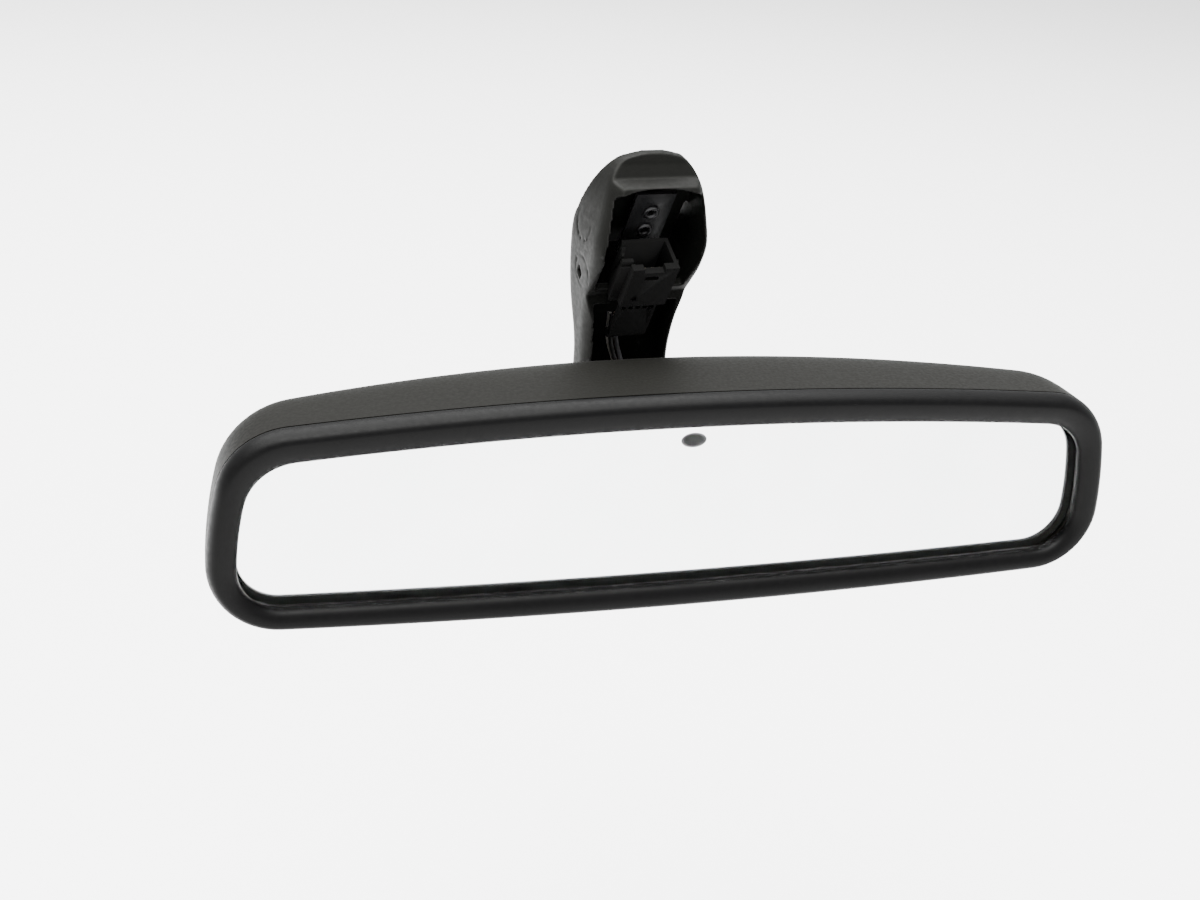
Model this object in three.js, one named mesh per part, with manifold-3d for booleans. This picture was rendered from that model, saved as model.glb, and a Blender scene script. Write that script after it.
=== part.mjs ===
// Interior rearview mirror with a self-dimming glass, a ball joint and a windscreen arm.
// Millimetres. +Z is up, +Y points to the windscreen and the mirror glass faces -Y.
import * as THREE from 'three';
import { mergeVertices } from 'three/addons/utils/BufferGeometryUtils.js';
import Module from 'manifold-3d';

const wasm = await Module();
wasm.setup();

// ---------- driving sizes ----------
const clearance = 0.3; // between pieces that meet or move
const layerGap = 0.1; // between bonded flat layers
const overlap = 1; // how far joined solids reach into each other
const degree = Math.PI / 180;

const head = {
  width: 248,
  height: 61.8,
  sideRadius: 124,
  sideRise: -18,
  topRadius: 1190,
  topCorner: 19.6,
  bottomRadius: 2160,
  bottomCorner: 18.3,
  partingY: 1.2,
};
const rim = {
  side: 7.7,
  top: 8.8,
  bottom: 6.9,
  ridgeShare: 0.36,
  ridgeY: -3.3,
  lipY: -0.6,
  lipBackY: 0,
  glassOverlap: 2.2,
};
const opening = {
  sideRadius: 92,
  sideRise: -14,
  topRadius: 1223,
  topCorner: 14,
  bottomRadius: 3020,
  bottomCorner: 10.7,
};
const housing = { wall: 2.2, depthMiddle: 38, depthEnd: 22, boxiness: 5, lastAngle: 84 * degree };
const mouth = { radius: 15.5 };
const glass = { paneThickness: 1.8, gelThickness: 0.3, gelInset: 1.2 };
const sensorWindow = { x: -0.5, z: 17, width: 6.9, height: 4.2 };
const busClip = { height: 2.6, thickness: 0.4, edgeInset: 1.2, length: 170, tabWidth: 6, tabHeight: 3 };
const foam = { thickness: 1.6, inset: 5.5 };
const carrier = { thickness: 2, inset: 2.9, postRadius: 2, ribHeight: 2.2, ribWidth: 1.6 };
const carrierRibs = [-100, -60, -30];
const board = {
  standoff: 2.7,
  thickness: 1.6,
  socketGap: 1,
  right: 84,
  bottom: -16,
  top: 24,
  postInset: 4.5,
};
const boardTongue = { left: -10, socketGap: 0.7 };
const lightSensor = { radius: 2, stem: 3 };
const lightWindow = { x: 42, z: 8, radius: 3.2, flange: 4.6, flangeHeight: 1.2, flangeDrop: 2 };
const boardSocket = { x: 62, z: -9, width: 12, height: 6, depth: 6, wall: 1 };
const loomPlug = { depth: 3 };
const loomRadius = 1.7;
// Bends of the loom from the ball, under the socket and along the board, as [x, y behind the carrier, z].
const loomBends = [
  [0, 2.7, -1],
  [4, 2.7, -10],
  [9, 2.9, -19],
  [15, 4, -22],
  [30, 8.5, -22],
  [48, 11.5, -20],
  [60, 17, -16],
];

const ball = { standoff: 14.5, radius: 8.5, boreRadius: 3.2, neckRadius: 5 };
const liner = { wall: 1.5, rearAngle: 54 * degree, frontAngle: 132 * degree };
const springRing = { wall: 1.2, rearAngle: 76 * degree, frontAngle: 104 * degree };
const socket = {
  wall: 2.6,
  rearAngle: 56 * degree,
  frontAngle: 120 * degree,
  flangeWidth: 5.3,
  flangeThickness: 2.2,
};
const loomRoom = { x: 8, width: 11, depth: 12 };
const socketScrew = {
  count: 3,
  fromCup: 2.9,
  radius: 1.2,
  play: 0.2,
  headRadius: 2.1,
  headHeight: 1.6,
  recess: 0.8,
};

// Radii of the nested shells around the ball, and of the flange that carries them.
const linerOuter = ball.radius + clearance + liner.wall;
const springOuter = linerOuter + clearance + springRing.wall;
const socketInner = springOuter + clearance;
const socketOuter = socketInner + socket.wall;
const flangeRadius = socketOuter + socket.flangeWidth;
const screwCircle = socketOuter + socketScrew.fromCup;
const boardLeft = flangeRadius + board.socketGap;
const tongueBottom = socketOuter + boardTongue.socketGap;

const arm = {
  yaw: 7 * degree,
  wall: 2.2,
  corner: 6.5,
  channelFloorZ: 12,
  bottomZ: -9,
  stalkWidth: 27,
  stalkDepth: 16,
  stalkY: 37,
  bossRadius: 7.5,
  bossFrontY: 25,
  taperStartZ: 18,
  taperEndZ: 58,
  leanStartZ: 30,
  leanEndZ: 60,
  footWidth: 33.5,
  footDepth: 28,
  footY: 30,
  topZ: 80.8,
  domeHeight: 16,
  domeShare: 0.3,
  channelTopZ: 72.3,
  archHeight: 3,
  frontTaper: 0.15, // share of its width that the hood loses from back to front
  frontTaperStartZ: 54,
  frontTaperEndZ: 70,
};
// Front edge of the arm's side walls, from the stalk up to the hood, as [y, z].
const armFront = [
  [29, 40],
  [19.5, 51.5],
  [16, 61.5],
  [18.2, 72.5],
  [22.6, 74.1],
  [24.4, 77.9],
];
const latch = { y: 33.5, z: 45.5, depth: 3, height: 4.6 };
const bend = { radius: 4, room: 4 };
const seat = { tilt: 30 * degree, y: 35.5, z: 66 };
const seatPlate = { width: 20, length: 23, proud: 0.4, recess: 2.4, blockMargin: 3, blockDepth: 5 };

// Sizes below are in the seat's frame: n along the seat's normal, w up the seat.
const shroud = { x: -1.3, n: -20.2, w: -9.25, width: 13.6, depth: 11.2, length: 14.9 };
const shroudWall = { side: 1.1, front: 2.1, floor: 3 };
const shroudSide = { flare: 2.6, setBack: 2.6 };
const shroudKey = { x: -1.7, width: 6.2, depth: 1.4 };
const shroudLatch = { x: -1.8, w: -5.4, width: 4, height: 1.4 };
const shroudSlots = { count: 4, thickness: 0.9, pitch: 2.1, depth: 1.6 };
const rail = { depth: 8, length: 5 };
const pin = { count: 5, size: 0.7, pitch: 2.1, height: 6 };
const wireCover = { x: -1.4, n: -23.4, width: 11.4, length: 14.2, thickness: 1.3, lip: 2.8 };
const coverSlots = { count: 5, width: 1.2, height: 1.7, pitch: 2.1, drop: 2.2 };
const clamp = { x: 0.6, n: -9.1, widthShare: 0.346, length: 22, thickness: 1.1, w: -1 };
const rivet = { radius: 1.8, bore: 1, flareRadius: 2.3, flareHeight: 0.7, pitch: 6.7 };
const wire = { radius: 0.65, spacing: 1.8, x: -3, startZ: 31, swayZ: 24, gatherZ: 13, endY: 1 };

// ---------- solids ----------
function toSolid(geometry) {
  const bare = geometry.clone();
  bare.deleteAttribute('normal');
  bare.deleteAttribute('uv');
  const merged = mergeVertices(bare, 1e-4);
  return new wasm.Manifold(
    new wasm.Mesh({
      numProp: 3,
      vertProperties: new Float32Array(merged.attributes.position.array),
      triVerts: new Uint32Array(merged.index.array),
    }),
  );
}

function toGeometry(solid) {
  const mesh = solid.getMesh();
  const geometry = new THREE.BufferGeometry();
  geometry.setAttribute('position', new THREE.BufferAttribute(mesh.vertProperties, mesh.numProp));
  geometry.setIndex(new THREE.BufferAttribute(mesh.triVerts, 1));
  return geometry;
}

function join(...pieces) {
  return toGeometry(pieces.map(toSolid).reduce((whole, next) => whole.add(next)));
}

function common(a, b) {
  return toGeometry(toSolid(a).intersect(toSolid(b)));
}

function cut(body, ...tools) {
  return toGeometry(tools.map(toSolid).reduce((whole, tool) => whole.subtract(tool), toSolid(body)));
}

function placed(geometry, x, y, z, rx = 0, ry = 0, rz = 0) {
  const turn = new THREE.Euler(rx, ry, rz);
  geometry.applyMatrix4(new THREE.Matrix4().makeRotationFromEuler(turn).setPosition(x, y, z));
  return geometry;
}

function box(width, depth, height, x, y, z) {
  return placed(new THREE.BoxGeometry(width, depth, height), x, y, z);
}

// A cylinder along Y from y to y + length.
function rodY(radius, length, x, y, z, segments = 32) {
  return placed(new THREE.CylinderGeometry(radius, radius, length, segments), x, y + length / 2, z);
}

// A cylinder along Z from z to z + length.
function rodZ(radius, length, x, y, z, segments = 32) {
  const rod = new THREE.CylinderGeometry(radius, radius, length, segments);
  return placed(rod, x, y, z + length / 2, Math.PI / 2);
}

function turned(profile, segments = 40) {
  return new THREE.LatheGeometry(profile.map(([r, y]) => new THREE.Vector2(r, y)), segments);
}

// Skins a list of rings with the same number of points. A closed loft joins the last ring to the
// first; an open one closes each end ring with a strip between its mirrored upper and lower points.
function loft(rings, closed) {
  const count = rings[0].length;
  const positions = rings.flat().flatMap((p) => [p.x, p.y, p.z]);
  const index = [];
  const spans = closed ? rings.length : rings.length - 1;
  for (let i = 0; i < spans; i += 1) {
    const here = i * count;
    const next = ((i + 1) % rings.length) * count;
    for (let j = 0; j < count; j += 1) {
      const k = (j + 1) % count;
      index.push(here + j, here + k, next + k, here + j, next + k, next + j);
    }
  }
  if (!closed) {
    capStrip(index, 0, count, true);
    capStrip(index, (rings.length - 1) * count, count, false);
  }
  const geometry = new THREE.BufferGeometry();
  geometry.setAttribute('position', new THREE.Float32BufferAttribute(positions, 3));
  geometry.setIndex(index);
  return facingOut(geometry);
}

function capStrip(index, start, count, reversed) {
  const half = count / 2;
  const add = (...corners) => {
    const ordered = reversed ? corners.reverse() : corners;
    index.push(...ordered.map((corner) => start + corner));
  };
  for (const side of [1, -1]) {
    const at = (i) => (side > 0 ? i : (count - i) % count);
    const tri = (a, b, c) => (side > 0 ? add(a, b, c) : add(c, b, a));
    for (let i = 0; i < half / 2; i += 1) {
      const low = half - i;
      if (i + 1 <= low - 1) {
        tri(at(i), at(i + 1), at(low));
      }
      if (i + 1 < low - 1) {
        tri(at(i + 1), at(low - 1), at(low));
      }
    }
  }
}

function facingOut(geometry) {
  const p = geometry.attributes.position;
  const index = geometry.index.array;
  const [a, b, c] = [0, 1, 2].map(() => new THREE.Vector3());
  let volume = 0;
  for (let i = 0; i < index.length; i += 3) {
    a.fromBufferAttribute(p, index[i]);
    b.fromBufferAttribute(p, index[i + 1]);
    c.fromBufferAttribute(p, index[i + 2]);
    volume += a.dot(b.cross(c));
  }
  if (volume < 0) {
    for (let i = 0; i < index.length; i += 3) {
      [index[i + 1], index[i + 2]] = [index[i + 2], index[i + 1]];
    }
  }
  return geometry;
}

// ---------- outline of the head: five tangent arcs on each side ----------
const arcSteps = { long: 8, corner: 6, side: 6 };

function crossing(centreA, radiusA, centreB, radiusB, side) {
  const line = centreB.clone().sub(centreA);
  const length = line.length();
  const along = (radiusA ** 2 - radiusB ** 2 + length ** 2) / (2 * length);
  const off = side * Math.sqrt(radiusA ** 2 - along ** 2);
  line.divideScalar(length);
  return centreA.clone().addScaledVector(line, along).add(new THREE.Vector2(-line.y * off, line.x * off));
}

// shape gives the outer size and arc radii; inset moves the whole outline inwards.
function outline(shape, inset = 0) {
  const { halfWidth, top, bottom, sideRadius, sideRise } = shape;
  const { topRadius, topCorner, bottomRadius, bottomCorner } = shape;
  const topCentre = new THREE.Vector2(0, top - topRadius);
  const bottomCentre = new THREE.Vector2(0, bottom + bottomRadius);
  const sideCentre = new THREE.Vector2(halfWidth - sideRadius, sideRise);
  const topKnee = crossing(topCentre, topRadius - topCorner, sideCentre, sideRadius - topCorner, -1);
  const bottomInner = bottomRadius - bottomCorner;
  const bottomKnee = crossing(bottomCentre, bottomInner, sideCentre, sideRadius - bottomCorner, 1);
  const angle = (from, to) => Math.atan2(to.y - from.y, to.x - from.x);
  const turns = [
    Math.PI / 2,
    angle(topCentre, topKnee),
    angle(sideCentre, topKnee),
    angle(sideCentre, bottomKnee),
    angle(bottomCentre, bottomKnee),
    -Math.PI / 2,
  ];
  const arcs = [
    [topCentre, topRadius, arcSteps.long],
    [topKnee, topCorner, arcSteps.corner],
    [sideCentre, sideRadius, arcSteps.side],
    [bottomKnee, bottomCorner, arcSteps.corner],
    [bottomCentre, bottomRadius, arcSteps.long],
  ];
  const half = [];
  arcs.forEach(([centre, radius, steps], k) => {
    for (let i = 0; i < steps; i += 1) {
      const a = mix(turns[k], turns[k + 1], i / steps);
      half.push(new THREE.Vector2(Math.cos(a), Math.sin(a)).multiplyScalar(radius - inset).add(centre));
    }
  });
  half.push(new THREE.Vector2(0, bottom + inset));
  const mirrored = half.slice(1, -1).reverse().map((p) => new THREE.Vector2(-p.x, p.y));
  return [...half, ...mirrored];
}

const headShape = {
  ...head,
  halfWidth: head.width / 2,
  top: head.height / 2,
  bottom: -head.height / 2,
};
const openingShape = {
  ...opening,
  halfWidth: head.width / 2 - rim.side,
  top: head.height / 2 - rim.top,
  bottom: -head.height / 2 + rim.bottom,
};

function ringAt(points, y) {
  return points.map((p) => new THREE.Vector3(p.x, y, p.y));
}

function blendRings(outer, inner, share) {
  return outer.map((p, i) => p.clone().lerp(inner[i], share));
}

function plate(shape, inset, yFront, thickness) {
  const points = outline(shape, inset);
  return loft([ringAt(points, yFront), ringAt(points, yFront + thickness)], false);
}

// ---------- stack of the head, front to back ----------
const stack = {};
stack.frontGlass = rim.lipBackY + clearance;
stack.gel = stack.frontGlass + glass.paneThickness + layerGap;
stack.rearGlass = stack.gel + glass.gelThickness + layerGap;
stack.foam = stack.rearGlass + glass.paneThickness + layerGap;
stack.pocketEnd = stack.foam + foam.thickness + layerGap;
stack.carrier = stack.pocketEnd + clearance;
stack.carrierBack = stack.carrier + carrier.thickness;
stack.board = stack.carrierBack + board.standoff;
stack.boardBack = stack.board + board.thickness + layerGap;
stack.ball = stack.carrierBack + ball.standoff;
const glassInset = -rim.glassOverlap;

const materials = {
  bezelPlastic: ['#1d1e20', 0.55, 0],
  housingPlastic: ['#20211e', 0.8, 0],
  armPlastic: ['#232423', 0.75, 0],
  connectorPlastic: ['#1a1b1c', 0.6, 0],
  glass: ['#dfe9ea', 0.05, 0],
  gel: ['#9fb0ac', 0.2, 0],
  mirror: ['#f2f4f5', 0.03, 1],
  steel: ['#a9abad', 0.35, 1],
  springSteel: ['#3b3c3d', 0.45, 1],
  brass: ['#c3a35a', 0.35, 1],
  foam: ['#2c2c2c', 0.95, 0],
  carrierPlastic: ['#3a3b3d', 0.7, 0],
  boardGreen: ['#1f5a34', 0.5, 0],
  sensor: ['#15161a', 0.25, 0],
  lens: ['#8f979c', 0.1, 0],
  nylon: ['#e6e2d6', 0.5, 0],
  dieCast: ['#8d9092', 0.5, 0.9],
  wireWhite: ['#e8e6df', 0.5, 0],
  wireBrown: ['#5c3a22', 0.5, 0],
  wireBlack: ['#161616', 0.5, 0],
  wireGrey: ['#6b6c6e', 0.5, 0],
};

function part(name, geometry, materialName) {
  const [color, roughness, metalness] = materials[materialName];
  const mesh = new THREE.Mesh(geometry, new THREE.MeshStandardMaterial({ color, roughness, metalness }));
  mesh.name = name;
  return mesh;
}

// ---------- head ----------
function bezel() {
  const outer = outline(headShape);
  const opening = outline(openingShape);
  const steps = 6;
  const rings = [];
  const add = (share, y) => rings.push(ringAt(blendRings(outer, opening, share), y));
  for (let i = 0; i <= steps; i += 1) {
    const a = ((Math.PI / 2) * i) / steps;
    const y = head.partingY + (rim.ridgeY - head.partingY) * Math.sin(a);
    add(rim.ridgeShare * (1 - Math.cos(a)), y);
  }
  for (let i = 1; i <= steps; i += 1) {
    const a = ((Math.PI / 2) * i) / steps;
    const y = rim.lipY + (rim.ridgeY - rim.lipY) * Math.cos(a);
    add(rim.ridgeShare + (1 - rim.ridgeShare) * Math.sin(a), y);
  }
  const pocket = outline(openingShape, glassInset - clearance);
  const tongue = outline(headShape, housing.wall + clearance);
  rings.push(ringAt(opening, rim.lipBackY));
  rings.push(ringAt(pocket, rim.lipBackY));
  rings.push(ringAt(pocket, stack.pocketEnd));
  rings.push(ringAt(tongue, stack.pocketEnd));
  rings.push(ringAt(tongue, head.partingY));
  return loft(rings, true);
}

// Depth of the housing's back above a point x of its outline.
function housingDepth(x) {
  const bow = 1 - (x / (head.width / 2)) ** 2;
  return housing.depthEnd + (housing.depthMiddle - housing.depthEnd) * bow;
}

// Outer or inner surface of the rear housing: a bowed box with rounded edges.
function housingRings(inset) {
  const base = outline(headShape, inset);
  const start = head.partingY + clearance;
  const halfWidth = head.width / 2 - inset;
  const halfHeight = head.height / 2 - inset;
  const steps = 12;
  const rings = [];
  for (let i = 0; i <= steps; i += 1) {
    const a = (housing.lastAngle * i) / steps;
    const reach = Math.sin(a) ** (2 / housing.boxiness);
    const shrink = Math.cos(a) ** (2 / housing.boxiness);
    const xScale = 1 - (halfHeight * (1 - shrink)) / halfWidth;
    rings.push(
      base.map((p) => {
        const x = p.x * xScale;
        return new THREE.Vector3(x, start + (housingDepth(x) - inset - start) * reach, p.y * shrink);
      }),
    );
  }
  return rings;
}

function rearHousing() {
  const shell = cut(loft(housingRings(0), false), loft(hollowRings(), false));
  const bore = rodY(mouth.radius, housing.depthMiddle, 0, stack.ball, 0, 64);
  const lensRadius = lightWindow.radius + clearance;
  const lensHole = rodY(lensRadius, housing.depthMiddle, lightWindow.x, stack.ball, lightWindow.z);
  return cut(shell, bore, lensHole);
}

// The inner rings start in front of the parting line so that the cut leaves an open rim.
function hollowRings() {
  const rings = housingRings(housing.wall);
  const front = rings[0].map((p) => new THREE.Vector3(p.x, head.partingY - 1, p.z));
  return [front, ...rings];
}

function sensorEye(yFront, length, margin) {
  const eye = rodY(1, length, 0, yFront, 0, 40);
  eye.scale(sensorWindow.width / 2 + margin, 1, sensorWindow.height / 2 + margin);
  return placed(eye, sensorWindow.x, 0, sensorWindow.z);
}

const sensorBore = () => {
  const radius = lightSensor.radius + clearance;
  return rodY(radius, stack.board, sensorWindow.x, stack.rearGlass + glass.paneThickness, sensorWindow.z);
};

function frontGlass() {
  return plate(openingShape, glassInset, stack.frontGlass, glass.paneThickness);
}

function gelLayer() {
  return plate(openingShape, glassInset + glass.gelInset, stack.gel, glass.gelThickness);
}

function rearGlass() {
  const pane = plate(openingShape, glassInset, stack.rearGlass, glass.paneThickness);
  return cut(pane, sensorEye(stack.rearGlass - 1, glass.paneThickness + 2, 0));
}

// A strip that follows the glass edge; side is 1 for the upper edge and -1 for the lower one.
function busClipPiece(side) {
  const inset = glassInset + busClip.edgeInset;
  const outer = plate(openingShape, inset, stack.foam, busClip.thickness);
  const inner = plate(openingShape, inset + busClip.height, stack.foam - 1, busClip.thickness + 2);
  const half = box(busClip.length, head.height, head.height, 0, 0, (side * head.height) / 2);
  return common(cut(outer, inner), half);
}

function foamPad() {
  const pad = plate(openingShape, foam.inset, stack.foam, foam.thickness);
  return cut(pad, sensorBore());
}

function glassCarrier() {
  const back = stack.carrierBack;
  const base = plate(headShape, housing.wall + carrier.inset, stack.carrier, carrier.thickness);
  const postLength = stack.board - layerGap - back + overlap;
  const postPlaces = [boardLeft + board.postInset, board.right - board.postInset].flatMap((x) => [
    [x, board.bottom + board.postInset],
    [x, board.top - board.postInset],
  ]);
  const posts = postPlaces.map(([x, z]) => rodY(carrier.postRadius, postLength, x, back - overlap, z, 20));
  const { ribWidth, ribHeight } = carrier;
  const ribDepth = ribHeight + overlap;
  const ribY = back + ribHeight - ribDepth / 2;
  const ribs = carrierRibs.map((x) => box(ribWidth, ribDepth, head.height / 2, x, ribY, 0));
  const screwBore = socketScrew.radius + socketScrew.play;
  const holeY = stack.carrier - overlap;
  const holes = screwPlaces().map(([x, z]) => rodY(screwBore, 3 * carrier.thickness, x, holeY, z, 20));
  return cut(join(base, ...posts, ...ribs), sensorBore(), ...holes);
}

function circuitBoard() {
  const wide = board.right - boardLeft;
  const tall = board.top - board.bottom;
  const y = stack.board + board.thickness / 2;
  const main = box(wide, board.thickness, tall, boardLeft + wide / 2, y, board.bottom + tall / 2);
  const reach = boardLeft - boardTongue.left + overlap;
  const tongueTall = board.top - tongueBottom;
  const [tongueX, tongueZ] = [boardTongue.left + reach / 2, tongueBottom + tongueTall / 2];
  return join(main, box(reach, board.thickness, tongueTall, tongueX, y, tongueZ));
}

// The stem reaches through the carrier and the foam to the oval window in the mirror coat.
function glareSensor() {
  const front = stack.rearGlass + glass.paneThickness + layerGap;
  const back = stack.board - layerGap;
  return rodY(lightSensor.radius, back - front, sensorWindow.x, front, sensorWindow.z, 24);
}

function sensorLens() {
  return sensorEye(stack.rearGlass, glass.paneThickness, -layerGap);
}

function ambientSensor() {
  return rodY(lightSensor.radius, lightSensor.stem, lightWindow.x, stack.boardBack, lightWindow.z, 24);
}

// A clear light pipe with a flange behind the housing wall and a domed outer face.
function lightPipe() {
  const outside = housingDepth(lightWindow.x);
  const front = stack.board + board.thickness + lightSensor.stem + 2 * clearance;
  const inside = outside - housing.wall - lightWindow.flangeDrop - lightWindow.flangeHeight;
  const { x, z } = lightWindow;
  const pipe = rodY(lightWindow.radius, outside - front, x, front, z);
  const flange = rodY(lightWindow.flange, lightWindow.flangeHeight, x, inside, z);
  return join(pipe, flange);
}

function boardConnector() {
  const { x, z, width, height, depth, wall } = boardSocket;
  const y = stack.boardBack + depth / 2;
  const hollow = box(width - 2 * wall, depth, height - 2 * wall, x, y + wall, z);
  return cut(box(width, depth, height, x, y, z), hollow);
}

const plugLength = boardSocket.depth - boardSocket.wall + loomPlug.depth;

function plugPiece() {
  const { x, z, width, height, wall } = boardSocket;
  const gap = 2 * (wall + clearance);
  const y = stack.boardBack + wall + clearance + plugLength / 2;
  return box(width - gap, plugLength, height - gap, x, y, z);
}

function tube(points, radius, sides = 8, steps = 30) {
  const stops = points.map(([x, y, z]) => new THREE.Vector3(x, y, z));
  const path = new THREE.CatmullRomCurve3(stops, false, 'centripetal');
  const section = new THREE.Shape();
  for (let i = 0; i < sides; i += 1) {
    const a = (2 * Math.PI * i) / sides;
    section[i ? 'lineTo' : 'moveTo'](radius * Math.cos(a), radius * Math.sin(a));
  }
  return new THREE.ExtrudeGeometry(section, { steps, bevelEnabled: false, extrudePath: path });
}

// From the hollow ball, under the socket, to the plug on the board.
function innerLoom() {
  const plugEnd = stack.boardBack + boardSocket.wall + clearance + plugLength + clearance;
  const route = [
    ...loomBends.map(([x, y, z]) => [x, stack.carrierBack + y, z]),
    [boardSocket.x, plugEnd + 3, boardSocket.z],
    [boardSocket.x, plugEnd, boardSocket.z],
  ];
  return tube(route, loomRadius, 8, 34);
}

// ---------- ball joint ----------

// Ring between two spheres around the ball centre; angles are measured from +Y.
function sphereZone(inner, outer, rearAngle, frontAngle, steps = 10) {
  const profile = [];
  for (let i = 0; i <= steps; i += 1) {
    const a = rearAngle + ((frontAngle - rearAngle) * i) / steps;
    profile.push([outer * Math.sin(a), outer * Math.cos(a)]);
  }
  for (let i = steps; i >= 0; i -= 1) {
    const a = rearAngle + ((frontAngle - rearAngle) * i) / steps;
    profile.push([inner * Math.sin(a), inner * Math.cos(a)]);
  }
  profile.push(profile[0]);
  return facingOut(mergeVertices(bareLathe(profile)));
}

function ballLiner() {
  return sphereZone(ball.radius + clearance, linerOuter, liner.rearAngle, liner.frontAngle);
}

function socketSpringRing() {
  return sphereZone(linerOuter + clearance, springOuter, springRing.rearAngle, springRing.frontAngle, 5);
}

function bareLathe(profile) {
  const geometry = turned(profile);
  geometry.deleteAttribute('normal');
  geometry.deleteAttribute('uv');
  return geometry;
}

function screwPlaces() {
  return Array.from({ length: socketScrew.count }, (_, i) => {
    const a = Math.PI / 2 + ((i + 0.5) * 2 * Math.PI) / socketScrew.count;
    return [screwCircle * Math.cos(a), screwCircle * Math.sin(a)];
  });
}

// A cup around the liner on a flange that stands on the carrier.
function socketHousing() {
  const flangeY = stack.carrierBack + layerGap;
  const skirtLength = stack.ball - flangeY;
  const domeShell = sphereZone(socketInner, socketOuter, socket.rearAngle, socket.frontAngle);
  const dome = placed(domeShell, 0, stack.ball, 0);
  const skirt = rodY(socketOuter, skirtLength, 0, flangeY, 0, 48);
  const flange = rodY(flangeRadius, socket.flangeThickness, 0, flangeY, 0, 48);
  const hollow = rodY(socketInner, skirtLength + 2 * overlap, 0, flangeY - overlap, 0, 48);
  const { x: gateX, width, depth } = loomRoom;
  const loomGate = box(width, depth, flangeRadius, gateX, flangeY, -flangeRadius);
  const screwBore = socketScrew.radius + socketScrew.play;
  const holeLength = socket.flangeThickness + 2 * overlap;
  const holes = screwPlaces().map(([x, z]) => rodY(screwBore, holeLength, x, flangeY - overlap, z, 20));
  return cut(join(cut(join(skirt, flange), hollow), dome), loomGate, sensorBore(), ...holes);
}

function socketScrewPiece([x, z]) {
  const seatY = stack.carrierBack + layerGap + socket.flangeThickness + layerGap;
  const shankLength = seatY - stack.carrier - layerGap + 1;
  const shank = rodY(socketScrew.radius, shankLength, x, seatY - shankLength + 1, z, 20);
  const headPiece = rodY(socketScrew.headRadius, socketScrew.headHeight, x, seatY, z, 24);
  const recessY = seatY + socketScrew.headHeight / 2;
  const recess = rodY(socketScrew.recess, socketScrew.headHeight, x, recessY, z, 6);
  return cut(join(shank, headPiece), recess);
}

// ---------- arm, in its own frame: origin at the ball centre, +Y away from the head ----------
function smooth(value) {
  const t = Math.min(Math.max(value, 0), 1);
  return t * t * (3 - 2 * t);
}

function mix(low, high, share) {
  return low + (high - low) * share;
}

// Half width, half depth and centre of the arm's cross-section at height z.
function armSection(z) {
  const share = smooth((z - arm.taperStartZ) / (arm.taperEndZ - arm.taperStartZ));
  const lean = smooth((z - arm.leanStartZ) / (arm.leanEndZ - arm.leanStartZ));
  const rise = smooth((z - arm.frontTaperStartZ) / (arm.frontTaperEndZ - arm.frontTaperStartZ));
  const dome = Math.max(0, 1 - (arm.topZ - z) / arm.domeHeight);
  const shrink = Math.sqrt(Math.max(0, 1 - dome ** 2));
  return {
    halfWidth: (mix(arm.stalkWidth, arm.footWidth, share) / 2) * mix(arm.domeShare, 1, shrink),
    halfDepth: (mix(arm.stalkDepth, arm.footDepth, share) / 2) * mix(arm.domeShare, 1, shrink),
    y: mix(arm.stalkY, arm.footY, lean),
    taper: arm.frontTaper * rise,
  };
}

// Rounded rectangles up the arm; frontReach carries their front side forwards to open the channel.
function armRings(inset, bottom, top, steps, frontReach) {
  const rings = [];
  const corners = 6;
  for (let i = 0; i <= steps; i += 1) {
    const z = bottom + ((top - bottom) * i) / steps;
    const { halfWidth, halfDepth, y, taper } = armSection(z);
    const w = halfWidth - inset;
    const front = halfDepth - inset + frontReach;
    const back = halfDepth - inset;
    const r = Math.min(arm.corner - inset / 2, w - 0.5, back - 0.5);
    const ring = [];
    const quadrants = [
      [w - r, back - r, 0],
      [-w + r, back - r, 1],
      [-w + r, -front + r, 2],
      [w - r, -front + r, 3],
    ];
    for (const [cx, cy, quarter] of quadrants) {
      for (let k = 0; k <= corners; k += 1) {
        const a = (quarter + k / corners) * (Math.PI / 2);
        const [px, py] = [cx + r * Math.cos(a), cy + r * Math.sin(a)];
        const forward = THREE.MathUtils.clamp((halfDepth - py) / (2 * halfDepth), 0, 1);
        ring.push(new THREE.Vector3(px * (1 - taper * forward), y + py, z));
      }
    }
    rings.push(ring);
  }
  return rings;
}

function fanLoft(rings) {
  const count = rings[0].length;
  const positions = rings.flat().flatMap((p) => [p.x, p.y, p.z]);
  const index = [];
  for (let i = 0; i + 1 < rings.length; i += 1) {
    for (let j = 0; j < count; j += 1) {
      const k = (j + 1) % count;
      const [here, next] = [i * count, (i + 1) * count];
      index.push(here + j, here + k, next + k, here + j, next + k, next + j);
    }
  }
  const last = (rings.length - 1) * count;
  for (let j = 1; j + 1 < count; j += 1) {
    index.push(0, j + 1, j, last, last + j, last + j + 1);
  }
  const geometry = new THREE.BufferGeometry();
  geometry.setAttribute('position', new THREE.Float32BufferAttribute(positions, 3));
  geometry.setIndex(index);
  return facingOut(geometry);
}

// Places a geometry drawn in the seat's frame: n runs along Y and w along Z.
function onSeat(geometry) {
  geometry.rotateX(seat.tilt);
  return geometry.translate(0, seat.y, seat.z);
}

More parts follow.
